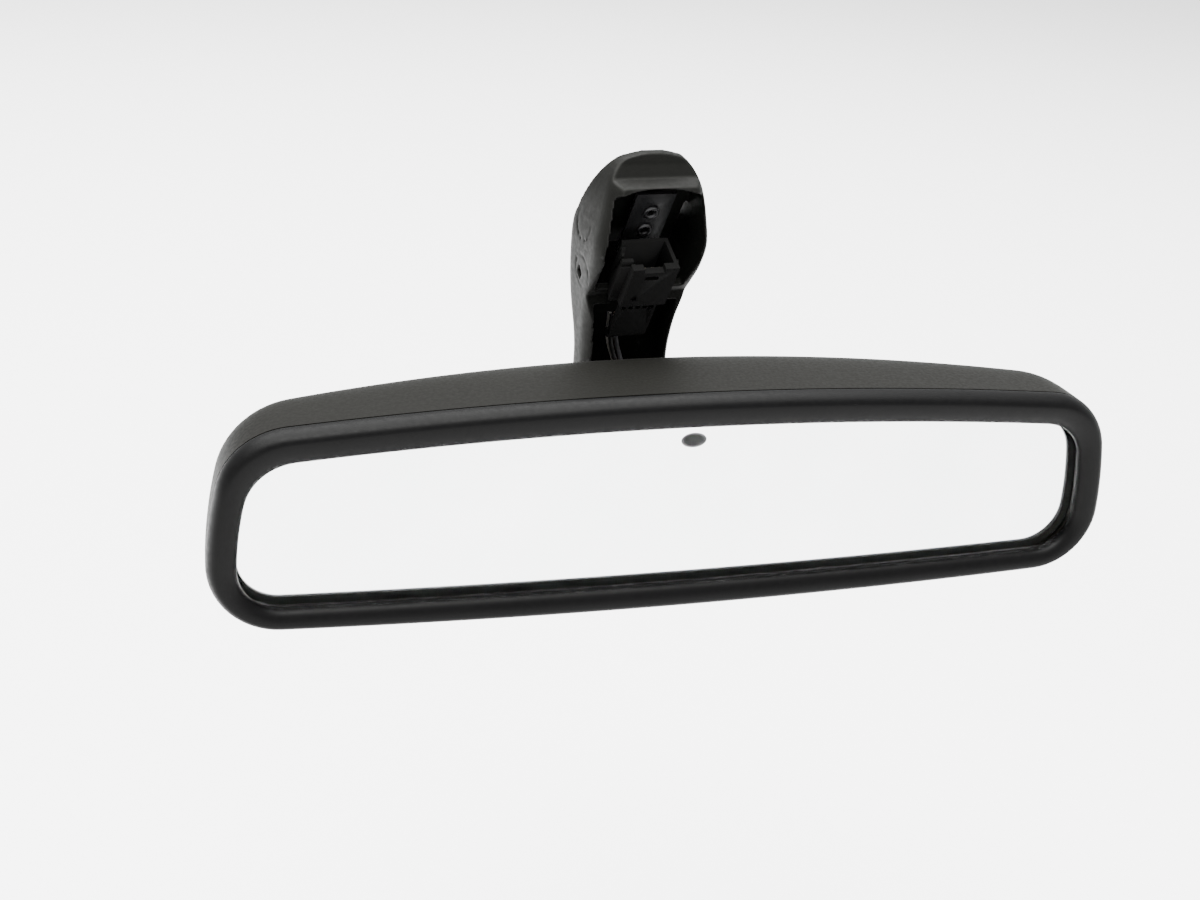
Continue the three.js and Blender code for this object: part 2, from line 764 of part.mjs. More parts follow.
// Everything in front of the side walls' edge, as a prism across the arm.
function frontCut() {
  const reach = arm.footWidth * 2;
  const low = armFront[0];
  const high = armFront[armFront.length - 1];
  const top = arm.topZ + reach;
  const profile = [[-reach, -reach], [low[0], -reach], ...armFront, [high[0], top], [-reach, top]];
  const shape = new THREE.Shape(profile.map(([y, z]) => new THREE.Vector2(y, z)));
  const prism = new THREE.ExtrudeGeometry(shape, { depth: arm.footWidth * 2, bevelEnabled: false });
  const toArm = new THREE.Matrix4().makeBasis(
    new THREE.Vector3(0, 1, 0),
    new THREE.Vector3(0, 0, 1),
    new THREE.Vector3(1, 0, 0),
  );
  prism.applyMatrix4(toArm);
  return prism.translate(-arm.footWidth, 0, 0);
}

// A wide round-topped prism that gives the channel its arched roof under the hood.
function archRoof() {
  const chord = arm.footWidth - 2 * arm.wall;
  const radius = ((chord / 2) ** 2 + arm.archHeight ** 2) / (2 * arm.archHeight);
  const reach = 4 * arm.footDepth;
  const roof = rodY(radius, reach, 0, -reach / 2, arm.channelTopZ - radius, 96);
  const straight = arm.channelTopZ - arm.archHeight;
  return join(roof, box(2 * chord, reach, straight, 0, 0, straight / 2));
}

// Window in the side wall, where a cover latches.
function latchWindow() {
  const { y, z, depth, height } = latch;
  return box(2 * arm.footWidth, depth, height, 0, y, z);
}

function armShell() {
  const body = fanLoft(armRings(0, arm.bottomZ, arm.topZ, 28, 0));
  const room = fanLoft(armRings(arm.wall, arm.channelFloorZ, arm.channelTopZ, 24, arm.footDepth));
  const channel = common(room, archRoof());
  const far = 4 * arm.footDepth;
  const behindSeat = onSeat(box(far, far, 2 * far, 0, far / 2, 0));
  const blockWidth = seatPlate.width + 2 * seatPlate.blockMargin;
  const blockLength = seatPlate.length + seatPlate.blockMargin;
  const rawBlock = box(blockWidth, seatPlate.blockDepth, blockLength, 0, -seatPlate.blockDepth / 2, 0);
  const block = common(onSeat(rawBlock), body);
  const plateRoom = onSeat(
    box(seatPlate.width + 2 * clearance, 2 * seatPlate.recess, seatPlate.length + 2 * clearance, 0, 0, 0),
  );
  const solid = join(cut(body, channel), block, ...coverRails(body));
  const shell = cut(solid, behindSeat, plateRoom, frontCut());
  const boss = rodY(arm.bossRadius, arm.stalkY - arm.bossFrontY - bend.room, 0, arm.bossFrontY, 0, 48);
  const neckHole = rodY(ball.neckRadius + clearance, arm.stalkY, 0, bend.room, 0);
  const bendRoom = rodZ(bend.room, arm.channelFloorZ + bend.room, 0, arm.stalkY, -bend.room / 2, 24);
  return cut(join(shell, boss), neckHole, bendRoom, latchWindow());
}

// Bars from the side walls that the wire cover slides between.
function coverRails(body) {
  const top = shroud.w - shroud.length / 2 - clearance;
  const width = (arm.footWidth - wireCover.width) / 2 - clearance;
  return [-1, 1].map((side) => {
    const x = wireCover.x + side * ((wireCover.width + width) / 2 + clearance);
    return common(onSeat(box(width, rail.depth, rail.length, x, shroud.n, top - rail.length / 2)), body);
  });
}

const neckEnd = arm.stalkY - bend.radius;

function ballStud() {
  const sphere = new THREE.SphereGeometry(ball.radius, 32, 20);
  const neck = rodY(ball.neckRadius, neckEnd - ball.radius / 2, 0, ball.radius / 2, 0, 36);
  const bore = rodY(ball.boreRadius, neckEnd + 2 * ball.radius, 0, -ball.radius - 1, 0, 28);
  return cut(join(sphere, neck), bore);
}

function windscreenPlate() {
  const thickness = seatPlate.recess - clearance + seatPlate.proud;
  return onSeat(box(seatPlate.width, thickness, seatPlate.length, 0, seatPlate.proud - thickness / 2, 0));
}

// Plan of the shroud as [x, n] points, moved inwards by the walls; the left side flares forwards.
function shroudPlan(sideWall, frontWall) {
  const right = shroud.width / 2 - sideWall;
  const back = shroud.n + shroud.depth / 2 - sideWall;
  const front = shroud.n - shroud.depth / 2 + frontWall;
  const step = front + shroudSide.setBack;
  const left = -right - shroudSide.flare;
  const rearPoints = [[right, back], [-right, back], [left, step]];
  const plan = [...rearPoints, [-right, step], [-right, front], [right, front]];
  return new THREE.Shape(plan.map(([x, n]) => new THREE.Vector2(shroud.x + x, n)));
}

function shroudPrism(plan, bottom, top) {
  const prism = new THREE.ExtrudeGeometry(plan, { depth: top - bottom, bevelEnabled: false });
  return prism.translate(0, 0, bottom);
}

function connectorShroud() {
  const { x, n, w, width, depth, length } = shroud;
  const { side, front, floor } = shroudWall;
  const [bottom, top] = [w - length / 2, w + length / 2];
  const body = shroudPrism(shroudPlan(0, 0), bottom, top);
  const hollow = shroudPrism(shroudPlan(side, front), bottom + floor, top + 1);
  const key = box(shroudKey.width, front * 3, shroudKey.depth * 2, shroudKey.x, n - depth / 2, top);
  const { x: latchX, w: latchW, width: latchWidth, height: latchHeight } = shroudLatch;
  const hole = box(latchWidth, front * 3, latchHeight, latchX, n - depth / 2, latchW);
  const reach = side + shroudSide.flare;
  const slots = Array.from({ length: shroudSlots.count }, (_, i) => {
    const slotN = n + depth / 2 - shroudSlots.pitch * (i + 1);
    const slotX = x - width / 2 - reach / 2 + side;
    return box(reach, shroudSlots.thickness, shroudSlots.depth * 2, slotX, slotN, top);
  });
  return onSeat(cut(body, hollow, key, hole, ...slots));
}

function terminalPin(i) {
  const x = shroud.x + (i - (pin.count - 1) / 2) * pin.pitch;
  const bottom = shroud.w - shroud.length / 2 + shroudWall.floor + layerGap;
  return onSeat(box(pin.size, pin.size, pin.height, x, shroud.n, bottom + pin.height / 2));
}

function wireCoverPiece() {
  const { x, n, width, length, thickness, lip } = wireCover;
  const top = shroud.w - shroud.length / 2 - clearance;
  const sheet = box(width, thickness, length, x, n, top - length / 2);
  const rod = new THREE.CylinderGeometry(lip / 2, lip / 2, width, 20);
  const roll = placed(rod, x, n + lip / 4, top - length, 0, 0, Math.PI / 2);
  const slots = Array.from({ length: coverSlots.count }, (_, i) => {
    const slotX = x + (i - (coverSlots.count - 1) / 2) * coverSlots.pitch;
    return box(coverSlots.width, thickness * 3, coverSlots.height, slotX, n, top - coverSlots.drop);
  });
  return onSeat(cut(join(sheet, roll), ...slots));
}

function rivetPlace(i) {
  return (i - 0.5) * rivet.pitch;
}

function footClamp() {
  const { x, n, w, length, thickness } = clamp;
  const width = clamp.widthShare * arm.footWidth;
  const leaf = box(width, thickness, length, x, n, w);
  const bore = rivet.radius + clearance;
  const holes = [0, 1].map((i) => rodY(bore, thickness * 3, x, n - thickness * 1.5, rivetPlace(i), 24));
  return onSeat(cut(leaf, ...holes));
}

// A tubular rivet through the clamp, flared on the channel side.
function clampRivet(i) {
  const face = clamp.n - clamp.thickness / 2 - layerGap;
  const length = -seatPlate.blockDepth - layerGap - face;
  const w = rivetPlace(i);
  const barrel = rodY(rivet.radius, length, clamp.x, face, w, 24);
  const flare = rodY(rivet.flareRadius, rivet.flareHeight, clamp.x, face - rivet.flareHeight, w, 28);
  const bore = rodY(rivet.bore, length * 3, clamp.x, face - length, w, 20);
  return onSeat(cut(join(barrel, flare), bore));
}

// One lead down the channel, round the bend and through the hollow neck. The four leads keep a
// two by two pattern, so side and row are 1 or -1.
function lead(i) {
  const side = (i % 2 ? 1 : -1) * (wire.spacing / 2);
  const row = (i < 2 ? 1 : -1) * (wire.spacing / 2);
  const y = arm.stalkY;
  const bendAt = (angle) => [
    side,
    y - bend.radius + (bend.radius + row) * Math.cos(angle),
    bend.radius - (bend.radius + row) * Math.sin(angle),
  ];
  const route = [
    [wire.x + side, y + row, wire.startZ],
    [wire.x + side, y + row, wire.swayZ],
    [side, y + row, wire.gatherZ],
    [side, y + row, 2 * bend.radius],
    bendAt(0),
    bendAt(Math.PI / 4),
    bendAt(Math.PI / 2),
    [side, y / 2, -row],
    [side, wire.endY, -row],
  ];
  return tube(route, wire.radius, 8, 32);
}

// ---------- assembly ----------
const headGroup = new THREE.Group();
headGroup.add(
  part('bezel', bezel(), 'bezelPlastic'),
  part('rear_housing', rearHousing(), 'housingPlastic'),
  part('front_glass', frontGlass(), 'glass'),
  part('electrochromic_layer', gelLayer(), 'gel'),
  part('rear_mirror_glass', rearGlass(), 'mirror'),
  part('sensor_window', sensorLens(), 'sensor'),
  part('bus_clip_upper', busClipPiece(1), 'steel'),
  part('bus_clip_lower', busClipPiece(-1), 'steel'),
  part('foam_pad', foamPad(), 'foam'),
  part('glass_carrier', glassCarrier(), 'carrierPlastic'),
  part('circuit_board', circuitBoard(), 'boardGreen'),
  part('glare_sensor', glareSensor(), 'sensor'),
  part('ambient_sensor', ambientSensor(), 'sensor'),
  part('light_window', lightPipe(), 'lens'),
  part('board_connector', boardConnector(), 'nylon'),
  part('loom_plug', plugPiece(), 'nylon'),
  part('inner_loom', innerLoom(), 'wireBlack'),
  part('socket_housing', socketHousing(), 'dieCast'),
);
screwPlaces().forEach((place, i) => {
  headGroup.add(part(`socket_screw_${i + 1}`, socketScrewPiece(place), 'steel'));
});

const jointGroup = new THREE.Group();
jointGroup.position.set(0, stack.ball, 0);
jointGroup.rotation.z = arm.yaw;
jointGroup.add(
  part('ball_liner', ballLiner(), 'nylon'),
  part('socket_spring_ring', socketSpringRing(), 'springSteel'),
);

const armGroup = new THREE.Group();
armGroup.position.set(0, stack.ball, 0);
armGroup.rotation.z = arm.yaw;
armGroup.add(
  part('arm_shell', armShell(), 'armPlastic'),
  part('ball_stud', ballStud(), 'dieCast'),
  part('windscreen_plate', windscreenPlate(), 'steel'),
  part('connector_shroud', connectorShroud(), 'connectorPlastic'),
  part('wire_cover', wireCoverPiece(), 'connectorPlastic'),
  part('foot_spring_clamp', footClamp(), 'springSteel'),
);
for (let i = 0; i < pin.count; i += 1) {
  armGroup.add(part(`terminal_pin_${i + 1}`, terminalPin(i), 'brass'));
}
for (const i of [0, 1]) {
  armGroup.add(part(`clamp_rivet_${i + 1}`, clampRivet(i), 'steel'));
}
const leadColours = [
  ['lead_white', 'wireWhite'],
  ['lead_brown', 'wireBrown'],
  ['lead_black', 'wireBlack'],
  ['lead_grey', 'wireGrey'],
];
leadColours.forEach(([name, colour], i) => armGroup.add(part(name, lead(i), colour)));

// The origin is the middle of the steel plate's outer face, where it is glued to the windscreen.
const plateFace = new THREE.Vector3(0, seatPlate.proud, 0);
plateFace.applyAxisAngle(new THREE.Vector3(1, 0, 0), seat.tilt).add(new THREE.Vector3(0, seat.y, seat.z));
plateFace.applyAxisAngle(new THREE.Vector3(0, 0, 1), arm.yaw).add(armGroup.position);

const group = new THREE.Group();
group.add(headGroup, jointGroup, armGroup);
group.position.copy(plateFace).negate();

export default group;
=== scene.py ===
import bpy
import bmesh
import math
from mathutils import Matrix, Vector


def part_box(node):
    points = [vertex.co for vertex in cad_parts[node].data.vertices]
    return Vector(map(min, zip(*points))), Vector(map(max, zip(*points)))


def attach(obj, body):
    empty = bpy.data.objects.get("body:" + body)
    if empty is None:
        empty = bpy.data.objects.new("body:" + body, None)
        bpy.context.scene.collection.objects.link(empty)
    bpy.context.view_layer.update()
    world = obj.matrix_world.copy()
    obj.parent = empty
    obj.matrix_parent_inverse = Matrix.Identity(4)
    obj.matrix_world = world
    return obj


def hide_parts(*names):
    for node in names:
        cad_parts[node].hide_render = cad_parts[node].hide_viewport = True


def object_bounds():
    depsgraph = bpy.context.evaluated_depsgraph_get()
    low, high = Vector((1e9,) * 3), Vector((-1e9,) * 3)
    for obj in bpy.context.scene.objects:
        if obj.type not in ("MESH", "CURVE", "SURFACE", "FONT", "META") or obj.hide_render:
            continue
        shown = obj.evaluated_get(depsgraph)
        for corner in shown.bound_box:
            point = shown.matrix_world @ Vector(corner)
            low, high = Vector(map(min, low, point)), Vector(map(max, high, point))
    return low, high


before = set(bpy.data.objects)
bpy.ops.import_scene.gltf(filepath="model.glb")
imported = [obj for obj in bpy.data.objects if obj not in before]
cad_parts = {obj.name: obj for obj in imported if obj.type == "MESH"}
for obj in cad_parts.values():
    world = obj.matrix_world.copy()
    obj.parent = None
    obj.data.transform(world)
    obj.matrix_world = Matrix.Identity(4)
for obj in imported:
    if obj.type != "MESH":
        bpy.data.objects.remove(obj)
CAD_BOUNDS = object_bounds()

# ---------- places taken from the frame, metres ----------
MM = 0.001
BEZEL_LOW, BEZEL_HIGH = (Vector(corner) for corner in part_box("bezel"))
GLASS_LOW = Vector(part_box("front_glass")[0])
BEZEL_MIDDLE = (BEZEL_LOW + BEZEL_HIGH) / 2
LIP_CLEARANCE = 0.3 * MM
HEAD = Vector((BEZEL_MIDDLE.x, GLASS_LOW.y - LIP_CLEARANCE, BEZEL_MIDDLE.z))
HEAD_WIDTH = (BEZEL_HIGH.x - BEZEL_LOW.x) / MM
HEAD_HEIGHT = (BEZEL_HIGH.z - BEZEL_LOW.z) / MM

# ---------- sizes of the head, millimetres, in a frame centred on the lip over the glass ----------
SIDE_RADIUS, SIDE_RISE = 124, -18
TOP_RADIUS, TOP_CORNER = 1190, 19.6
BOTTOM_RADIUS, BOTTOM_CORNER = 2160, 18.3
OPENING_SIDE_RADIUS, OPENING_SIDE_RISE = 92, -14
OPENING_TOP_RADIUS, OPENING_TOP_CORNER = 1223, 14
OPENING_BOTTOM_RADIUS, OPENING_BOTTOM_CORNER = 3020, 10.7
RIM_SIDE, RIM_TOP, RIM_BOTTOM = 7.7, 8.8, 6.9
PARTING_Y, PARTING_EDGE, TONGUE_END_Y = 1.2, 0.25, 6.2
RIDGE_Y, RIDGE_SHARE, LIP_Y, LIP_BACK_Y = -3.3, 0.36, -0.6, 0.0
GLASS_OVERLAP, GAP = 2.2, 0.3
HOUSING_WALL, DEPTH_MIDDLE, DEPTH_END, BOXINESS = 2.2, 38, 22, 5
MOUTH_RADIUS = 15.5
LIGHT_X, LIGHT_Z, LIGHT_RADIUS = 42, 8, 3.5

# ---------- sizes of the arm, millimetres, from the ball's centre ----------
BALL_Y = 23
ARM_YAW = math.radians(7)
ARM_WALL, ARM_CORNER = 2.2, 6.5
ARM_BOTTOM, ARM_TOP, DOME_HEIGHT, DOME_SHARE = -9, 80.8, 16, 0.3
STALK_WIDTH, STALK_DEPTH, STALK_Y = 27, 16, 37
FOOT_WIDTH, FOOT_DEPTH, FOOT_Y = 33.5, 28, 30
TAPER_START, TAPER_END, LEAN_START, LEAN_END = 18, 58, 30, 60
CHANNEL_FLOOR, CHANNEL_TOP, ARCH_HEIGHT = 12, 72.3, 3
FRONT_TAPER, FRONT_TAPER_START, FRONT_TAPER_END = 0.15, 54, 70
ARM_FRONT = [(29, 40), (19.5, 51.5), (16, 61.5), (18.2, 72.5), (22.6, 74.1), (24.4, 77.9)]
BOSS_RADIUS, BOSS_FRONT = 7.5, 25
NECK_RADIUS, BEND_ROOM = 5.0, 4
LATCH_Y, LATCH_Z, LATCH_DEPTH, LATCH_HEIGHT = 33.5, 45.5, 3, 4.6
BOSS_RING_RADIUS, BOSS_RING_WIDTH, BOSS_RING_DEPTH, GROOVE_REACH = 5.0, 0.7, 0.5, 3
BOSS_RING_CENTRES = [(-15.9, LATCH_Y - 2.2, LATCH_Z + 0.8), (-16.6, 31, 60)]  # on the left wall's face
RAIL_DEPTH, RAIL_HEIGHT = 8, 5
ARM_VOXEL = 0.4
FAR = 120
SEAT_TILT, SEAT_Y, SEAT_Z = math.radians(30), 35.5, 66
PLATE_WIDTH, PLATE_LENGTH, PLATE_RECESS, BLOCK_MARGIN, BLOCK_DEPTH = 20, 23, 2.4, 3, 5

# Seat frame: Y along the seat's normal, Z up the seat.
SHROUD_X, SHROUD_N, SHROUD_W = -1.3, -20.2, -9.25
SHROUD_WIDTH, SHROUD_DEPTH, SHROUD_LENGTH = 13.6, 11.2, 14.9
SHROUD_SIDE, SHROUD_FRONT, SHROUD_FLOOR, SHROUD_FLARE, SHROUD_EDGE = 1.1, 2.1, 3, 2.6, 0.16
KEY_X, KEY_WIDTH, KEY_HEIGHT = -1.7, 6.2, 2.8
CATCH_X, CATCH_W, CATCH_WIDTH, CATCH_HEIGHT = -1.8, -5.4, 4, 1.4
TEETH, TOOTH_PITCH, TOOTH_GAP, TOOTH_HEIGHT = 4, 2.1, 0.9, 3.2
MARK_X, MARK_W, MARK_RADIUS, MARK_DEPTH = -4.8, -13.5, 0.7, 0.3
COVER_X, COVER_N, COVER_WIDTH, COVER_LENGTH = -1.4, -23.4, 11.4, 14.2
COVER_THICKNESS, COVER_LIP, COVER_EDGE = 1.3, 2.8, 0.15
COVER_SLOTS, COVER_SLOT_WIDTH, COVER_SLOT_HEIGHT = 5, 1.2, 1.7
COVER_SLOT_PITCH, COVER_SLOT_DROP, COVER_SLOT_DEPTH = 2.1, 2.2, 6
CLAMP_X, CLAMP_N, CLAMP_W = 0.6, -9.1, -1
CLAMP_WIDTH, CLAMP_LENGTH, CLAMP_THICKNESS, CLAMP_EDGE = 11.6, 22, 1.1, 0.22
RIVET_RADIUS, RIVET_BORE, RIVET_FLARE, RIVET_PITCH, RIVET_CROWN, RIVET_GAP = 1.8, 1.0, 2.3, 6.7, 0.6, 0.1

# Leads, in the arm's frame.
WIRE_RADIUS, WIRE_SPACING, WIRE_X, WIRE_END_Y = 0.65, 1.8, -3, 1
WIRE_TOP, WIRE_SWAY, WIRE_GATHER, BEND_RADIUS = 31, 24, 13, 4

TO_HEAD = Matrix.Translation(HEAD) @ Matrix.Scale(MM, 4)
TO_ARM = TO_HEAD @ Matrix.Translation((0, BALL_Y, 0)) @ Matrix.Rotation(ARM_YAW, 4, "Z")
SEAT_IN_ARM = Matrix.Translation((0, SEAT_Y, SEAT_Z)) @ Matrix.Rotation(SEAT_TILT, 4, "X")
TO_SEAT = TO_ARM @ SEAT_IN_ARM


# ---------- procedural materials ----------
NOISE_LOW, NOISE_HIGH = 0.3, 0.7
EDGE_LOW, EDGE_HIGH = 0.51, 0.6
GLOSS_SPREAD, GLOSS_CELLS = 0.06, 6
OVAL_CLEAR, OVAL_RIM = 0.34, 0.5


def new_material(name):
    """A material with its node tree and its shader."""
    material = bpy.data.materials.new(name)
    material.use_nodes = True
    return material, material.node_tree, material.node_tree.nodes["Principled BSDF"]


def noise(tree, size_mm, detail=3.0):
    """Noise whose features are about size_mm across, whatever the piece."""
    coordinates = tree.nodes.new("ShaderNodeTexCoord")
    texture = tree.nodes.new("ShaderNodeTexNoise")
    texture.inputs["Scale"].default_value = 1 / (size_mm * MM)
    texture.inputs["Detail"].default_value = detail
    tree.links.new(coordinates.outputs["Object"], texture.inputs["Vector"])
    return texture.outputs["Fac"]


def spread(tree, value, low, high):
    """Maps the middle of a noise onto low..high."""
    node = tree.nodes.new("ShaderNodeMapRange")
    node.inputs["From Min"].default_value = NOISE_LOW
    node.inputs["From Max"].default_value = NOISE_HIGH
    node.inputs["To Min"].default_value = low
    node.inputs["To Max"].default_value = high
    tree.links.new(value, node.inputs["Value"])
    return node.outputs["Result"]


def blend_color(tree, shader, factor, first, second):
    """Base colour that goes from first to second with factor."""
    mix = tree.nodes.new("ShaderNodeMix")
    mix.data_type = "RGBA"
    mix.inputs["A"].default_value = (*first, 1)
    mix.inputs["B"].default_value = (*second, 1)
    tree.links.new(factor, mix.inputs["Factor"])
    tree.links.new(mix.outputs["Result"], shader.inputs["Base Color"])
    return mix


def tone(tree, shader, color, value, variation):
    """Base colour that is a little darker and lighter than color."""
    darker = [c * (1 - variation) for c in color]
    lighter = [min(1, c * (1 + variation)) for c in color]
    return blend_color(tree, shader, value, darker, lighter)


def rub_edges(tree, shader, clean, worn):
    """Adds a warm grey to the convex edges of the clean colour."""
    geometry = tree.nodes.new("ShaderNodeNewGeometry")
    edge = tree.nodes.new("ShaderNodeMapRange")
    edge.inputs["From Min"].default_value = EDGE_LOW
    edge.inputs["From Max"].default_value = EDGE_HIGH
    tree.links.new(geometry.outputs["Pointiness"], edge.inputs["Value"])
    mix = blend_color(tree, shader, edge.outputs["Result"], (0, 0, 0), (worn, worn, worn * 0.97))
    tree.links.new(clean.outputs["Result"], mix.inputs["A"])


def surface(name, color, roughness, grain_mm, relief_mm, variation=0.15, metallic=0.0,
            specular=0.5, cloud_mm=14, tint=(1.0, 1.0, 1.0), worn=0.0):
    """Opaque finish: grained relief, clouded colour, uneven gloss, edges rubbed lighter by worn."""
    material, tree, shader = new_material(name)
    shader.inputs["Specular Tint"].default_value = (*tint, 1)
    shader.inputs["Metallic"].default_value = metallic
    shader.inputs["Specular IOR Level"].default_value = specular
    clean = tone(tree, shader, color, spread(tree, noise(tree, cloud_mm), 0, 1), variation)
    if worn > 0:
        rub_edges(tree, shader, clean, worn)
    patches = noise(tree, grain_mm * GLOSS_CELLS)
    uneven = spread(tree, patches, roughness - GLOSS_SPREAD, roughness + GLOSS_SPREAD)
    tree.links.new(uneven, shader.inputs["Roughness"])
    bump = tree.nodes.new("ShaderNodeBump")
    bump.inputs["Strength"].default_value = 1.0
    bump.inputs["Distance"].default_value = relief_mm * MM
    tree.links.new(noise(tree, grain_mm, 2.0), bump.inputs["Height"])
    tree.links.new(bump.outputs["Normal"], shader.inputs["Normal"])
    return material


def clear(name, color, ior, haze):
    """Glass or gel with a trace of haze."""
    material, tree, shader = new_material(name)
    shader.inputs["Transmission Weight"].default_value = 1.0
    shader.inputs["IOR"].default_value = ior
    tone(tree, shader, color, spread(tree, noise(tree, 30), 0, 1), 0.01)
    tree.links.new(spread(tree, noise(tree, 6), 0.0, haze), shader.inputs["Roughness"])
    return material


def soft_oval(name, dark, light):
    """Dark window that fades towards its own rim."""
    material, tree, shader = new_material(name)
    shader.inputs["Specular IOR Level"].default_value = 0.1
    coordinates = tree.nodes.new("ShaderNodeTexCoord")
    distance = tree.nodes.new("ShaderNodeVectorMath")
    distance.operation = "DISTANCE"
    flatten = tree.nodes.new("ShaderNodeVectorMath")
    flatten.operation = "MULTIPLY"
    flatten.inputs[1].default_value = (1, 0, 1)
    tree.links.new(coordinates.outputs["Generated"], flatten.inputs[0])
    tree.links.new(flatten.outputs["Vector"], distance.inputs[0])
    distance.inputs[1].default_value = (0.5, 0, 0.5)
    fade = tree.nodes.new("ShaderNodeMapRange")
    fade.interpolation_type = "SMOOTHSTEP"
    fade.inputs["From Min"].default_value = OVAL_CLEAR
    fade.inputs["From Max"].default_value = OVAL_RIM
    tree.links.new(distance.outputs["Value"], fade.inputs["Value"])
    blend_color(tree, shader, fade.outputs["Result"], dark, light)
    tree.links.new(spread(tree, noise(tree, 1), 0.12, 0.2), shader.inputs["Roughness"])
    return material


BLACK = {
    "bezel": surface("bezel_plastic", (0.0011, 0.0011, 0.0012), 0.42, 0.22, 0.006, 0.05,
                     specular=0.06, tint=(1.0, 1.0, 0.98)),
    "housing": surface("housing_plastic", (0.0026, 0.0026, 0.0022), 0.52, 0.16, 0.008, 0.04,
                       specular=0.055, tint=(1.0, 0.99, 0.9)),
    "arm": surface("arm_plastic", (0.0022, 0.0023, 0.002), 0.5, 0.25, 0.03, 0.05,
                   specular=0.06, tint=(1.0, 1.0, 0.94), worn=0.01),
    # Shroud and cover sit deep in the arm's channel: their near-black base is their own black deepened with
    # painted shade of the channel.
    "shroud": surface("shroud_plastic_painted_shade", (0.0004, 0.0004, 0.0004), 0.62, 0.3, 0.008,
                      specular=0.006, worn=0.004),
    "cover": surface("cover_plastic_painted_shade", (0.0003, 0.0003, 0.0003), 0.62, 0.3, 0.008,
                     specular=0.008, worn=0.003),
    "spring": surface("black_spring_steel", (0.008, 0.008, 0.0085), 0.42, 0.4, 0.006,
                      metallic=0.5, specular=0.2),
    "rivet": surface("rivet_steel", (0.03, 0.03, 0.031), 0.38, 0.3, 0.008, metallic=0.9),
}
INNER = {
    "front_glass": clear("front_pane", (1, 1, 1), 1.1, 0.002),
    "electrochromic_layer": clear("dimming_gel", (0.99, 1.0, 0.995), 1.08, 0.003),
    "rear_mirror_glass": surface("silvered_glass", (0.97, 0.975, 0.98), 0.06, 40, 0.0, 0.01, metallic=1.0),
    "sensor_window": soft_oval("sensor_oval", (0.003, 0.003, 0.0035), (0.12, 0.12, 0.125)),
    "bus_clip": surface("tinned_strip", (0.2, 0.2, 0.205), 0.3, 0.5, 0.004, 0.1, metallic=1.0),
    "foam_pad": surface("closed_cell_foam", (0.03, 0.03, 0.03), 0.9, 0.25, 0.08, 0.3),
    "glass_carrier": surface("carrier_plastic", (0.012, 0.012, 0.013), 0.6, 0.4, 0.02),
    "circuit_board": surface("solder_mask", (0.004, 0.03, 0.01), 0.35, 0.6, 0.012, 0.35, cloud_mm=3),
    "sensor": surface("sensor_resin", (0.012, 0.012, 0.016), 0.2, 0.5, 0.003),
    "light_window": surface("smoked_lens", (0.01, 0.011, 0.012), 0.12, 0.6, 0.002, 0.1),
    "nylon": surface("natural_nylon", (0.2, 0.193, 0.165), 0.45, 0.4, 0.01, 0.08),
    "inner_loom": surface("loom_tape", (0.012, 0.012, 0.012), 0.6, 0.5, 0.05, 0.3, cloud_mm=2),
    "die_cast": surface("die_cast_zinc", (0.12, 0.12, 0.123), 0.42, 0.5, 0.02, 0.12, metallic=1.0),
    "socket_screw": surface("zinc_plate", (0.18, 0.185, 0.2), 0.3, 0.4, 0.006, 0.15, metallic=1.0),
    "socket_spring_ring": surface("blued_steel", (0.04, 0.044, 0.056), 0.35, 0.5, 0.005, 0.25, metallic=1.0),
    "windscreen_plate": surface("sintered_steel", (0.085, 0.085, 0.085), 0.5, 0.3, 0.03, 0.2, metallic=1.0),
    "terminal_pin": surface("tinned_brass", (0.14, 0.125, 0.085), 0.28, 0.3, 0.003, 0.12, metallic=1.0),
}
SHARED_FINISH = {
    "glare_sensor": "sensor",
    "ambient_sensor": "sensor",
    "board_connector": "nylon",
    "loom_plug": "nylon",
    "ball_liner": "nylon",
    "socket_housing": "die_cast",
    "ball_stud": "die_cast",
}
LEAD_FINISH = {
    # The white lead's skin is lighter than the other leads partly as a painted glint, standing in for the
    # glints along the leads.
    "lead_white": surface("lead_white_skin_painted_glint", (0.16, 0.155, 0.14), 0.35, 0.6, 0.01, 0.08),
    "lead_brown": surface("lead_brown_skin", (0.02, 0.01, 0.005), 0.4, 0.6, 0.01, 0.15),
    "lead_black": surface("lead_black_skin", (0.002, 0.002, 0.002), 0.4, 0.6, 0.01, 0.15),
    "lead_grey": surface("lead_grey_skin", (0.03, 0.03, 0.032), 0.4, 0.6, 0.01, 0.12),
}


def finish_for(node):
    """Finish of a CAD node by its own name or by its name without a number."""
    for key in (SHARED_FINISH.get(node), node, node.rsplit("_", 1)[0]):
        if key in INNER:
            return INNER[key]
    return None


def paint_cad_nodes():
    """Gives the CAD nodes inside the mirror their finishes."""
    for name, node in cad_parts.items():
        finish = finish_for(name)
        if finish is not None:
            for index in range(len(node.material_slots)):
                node.material_slots[index].material = finish


# ---------- meshes, drawn in millimetres ----------
MERGE_DISTANCE = 1e-4


def mesh_object(name, vertices, faces):
    """Object with shared corners and faces turned outwards."""
    mesh = bpy.data.meshes.new(name)
    mesh.from_pydata([tuple(v) for v in vertices], [], faces)
    mesh.validate()
    work = bmesh.new()
    work.from_mesh(mesh)
    bmesh.ops.remove_doubles(work, verts=work.verts, dist=MERGE_DISTANCE)
    bmesh.ops.recalc_face_normals(work, faces=work.faces)
    work.to_mesh(mesh)
    work.free()
    piece = bpy.data.objects.new(name, mesh)
    bpy.context.scene.collection.objects.link(piece)
    return piece


def ring_faces(rings, looped):
    """Quads between rings with the same number of points."""
    count = len(rings[0])
    spans = len(rings) if looped else len(rings) - 1
    faces = []
    for i in range(spans):
        here, there = i * count, (i + 1) % len(rings) * count
        for j in range(count):
            k = (j + 1) % count
            faces.append((here + j, here + k, there + k, there + j))
    return faces


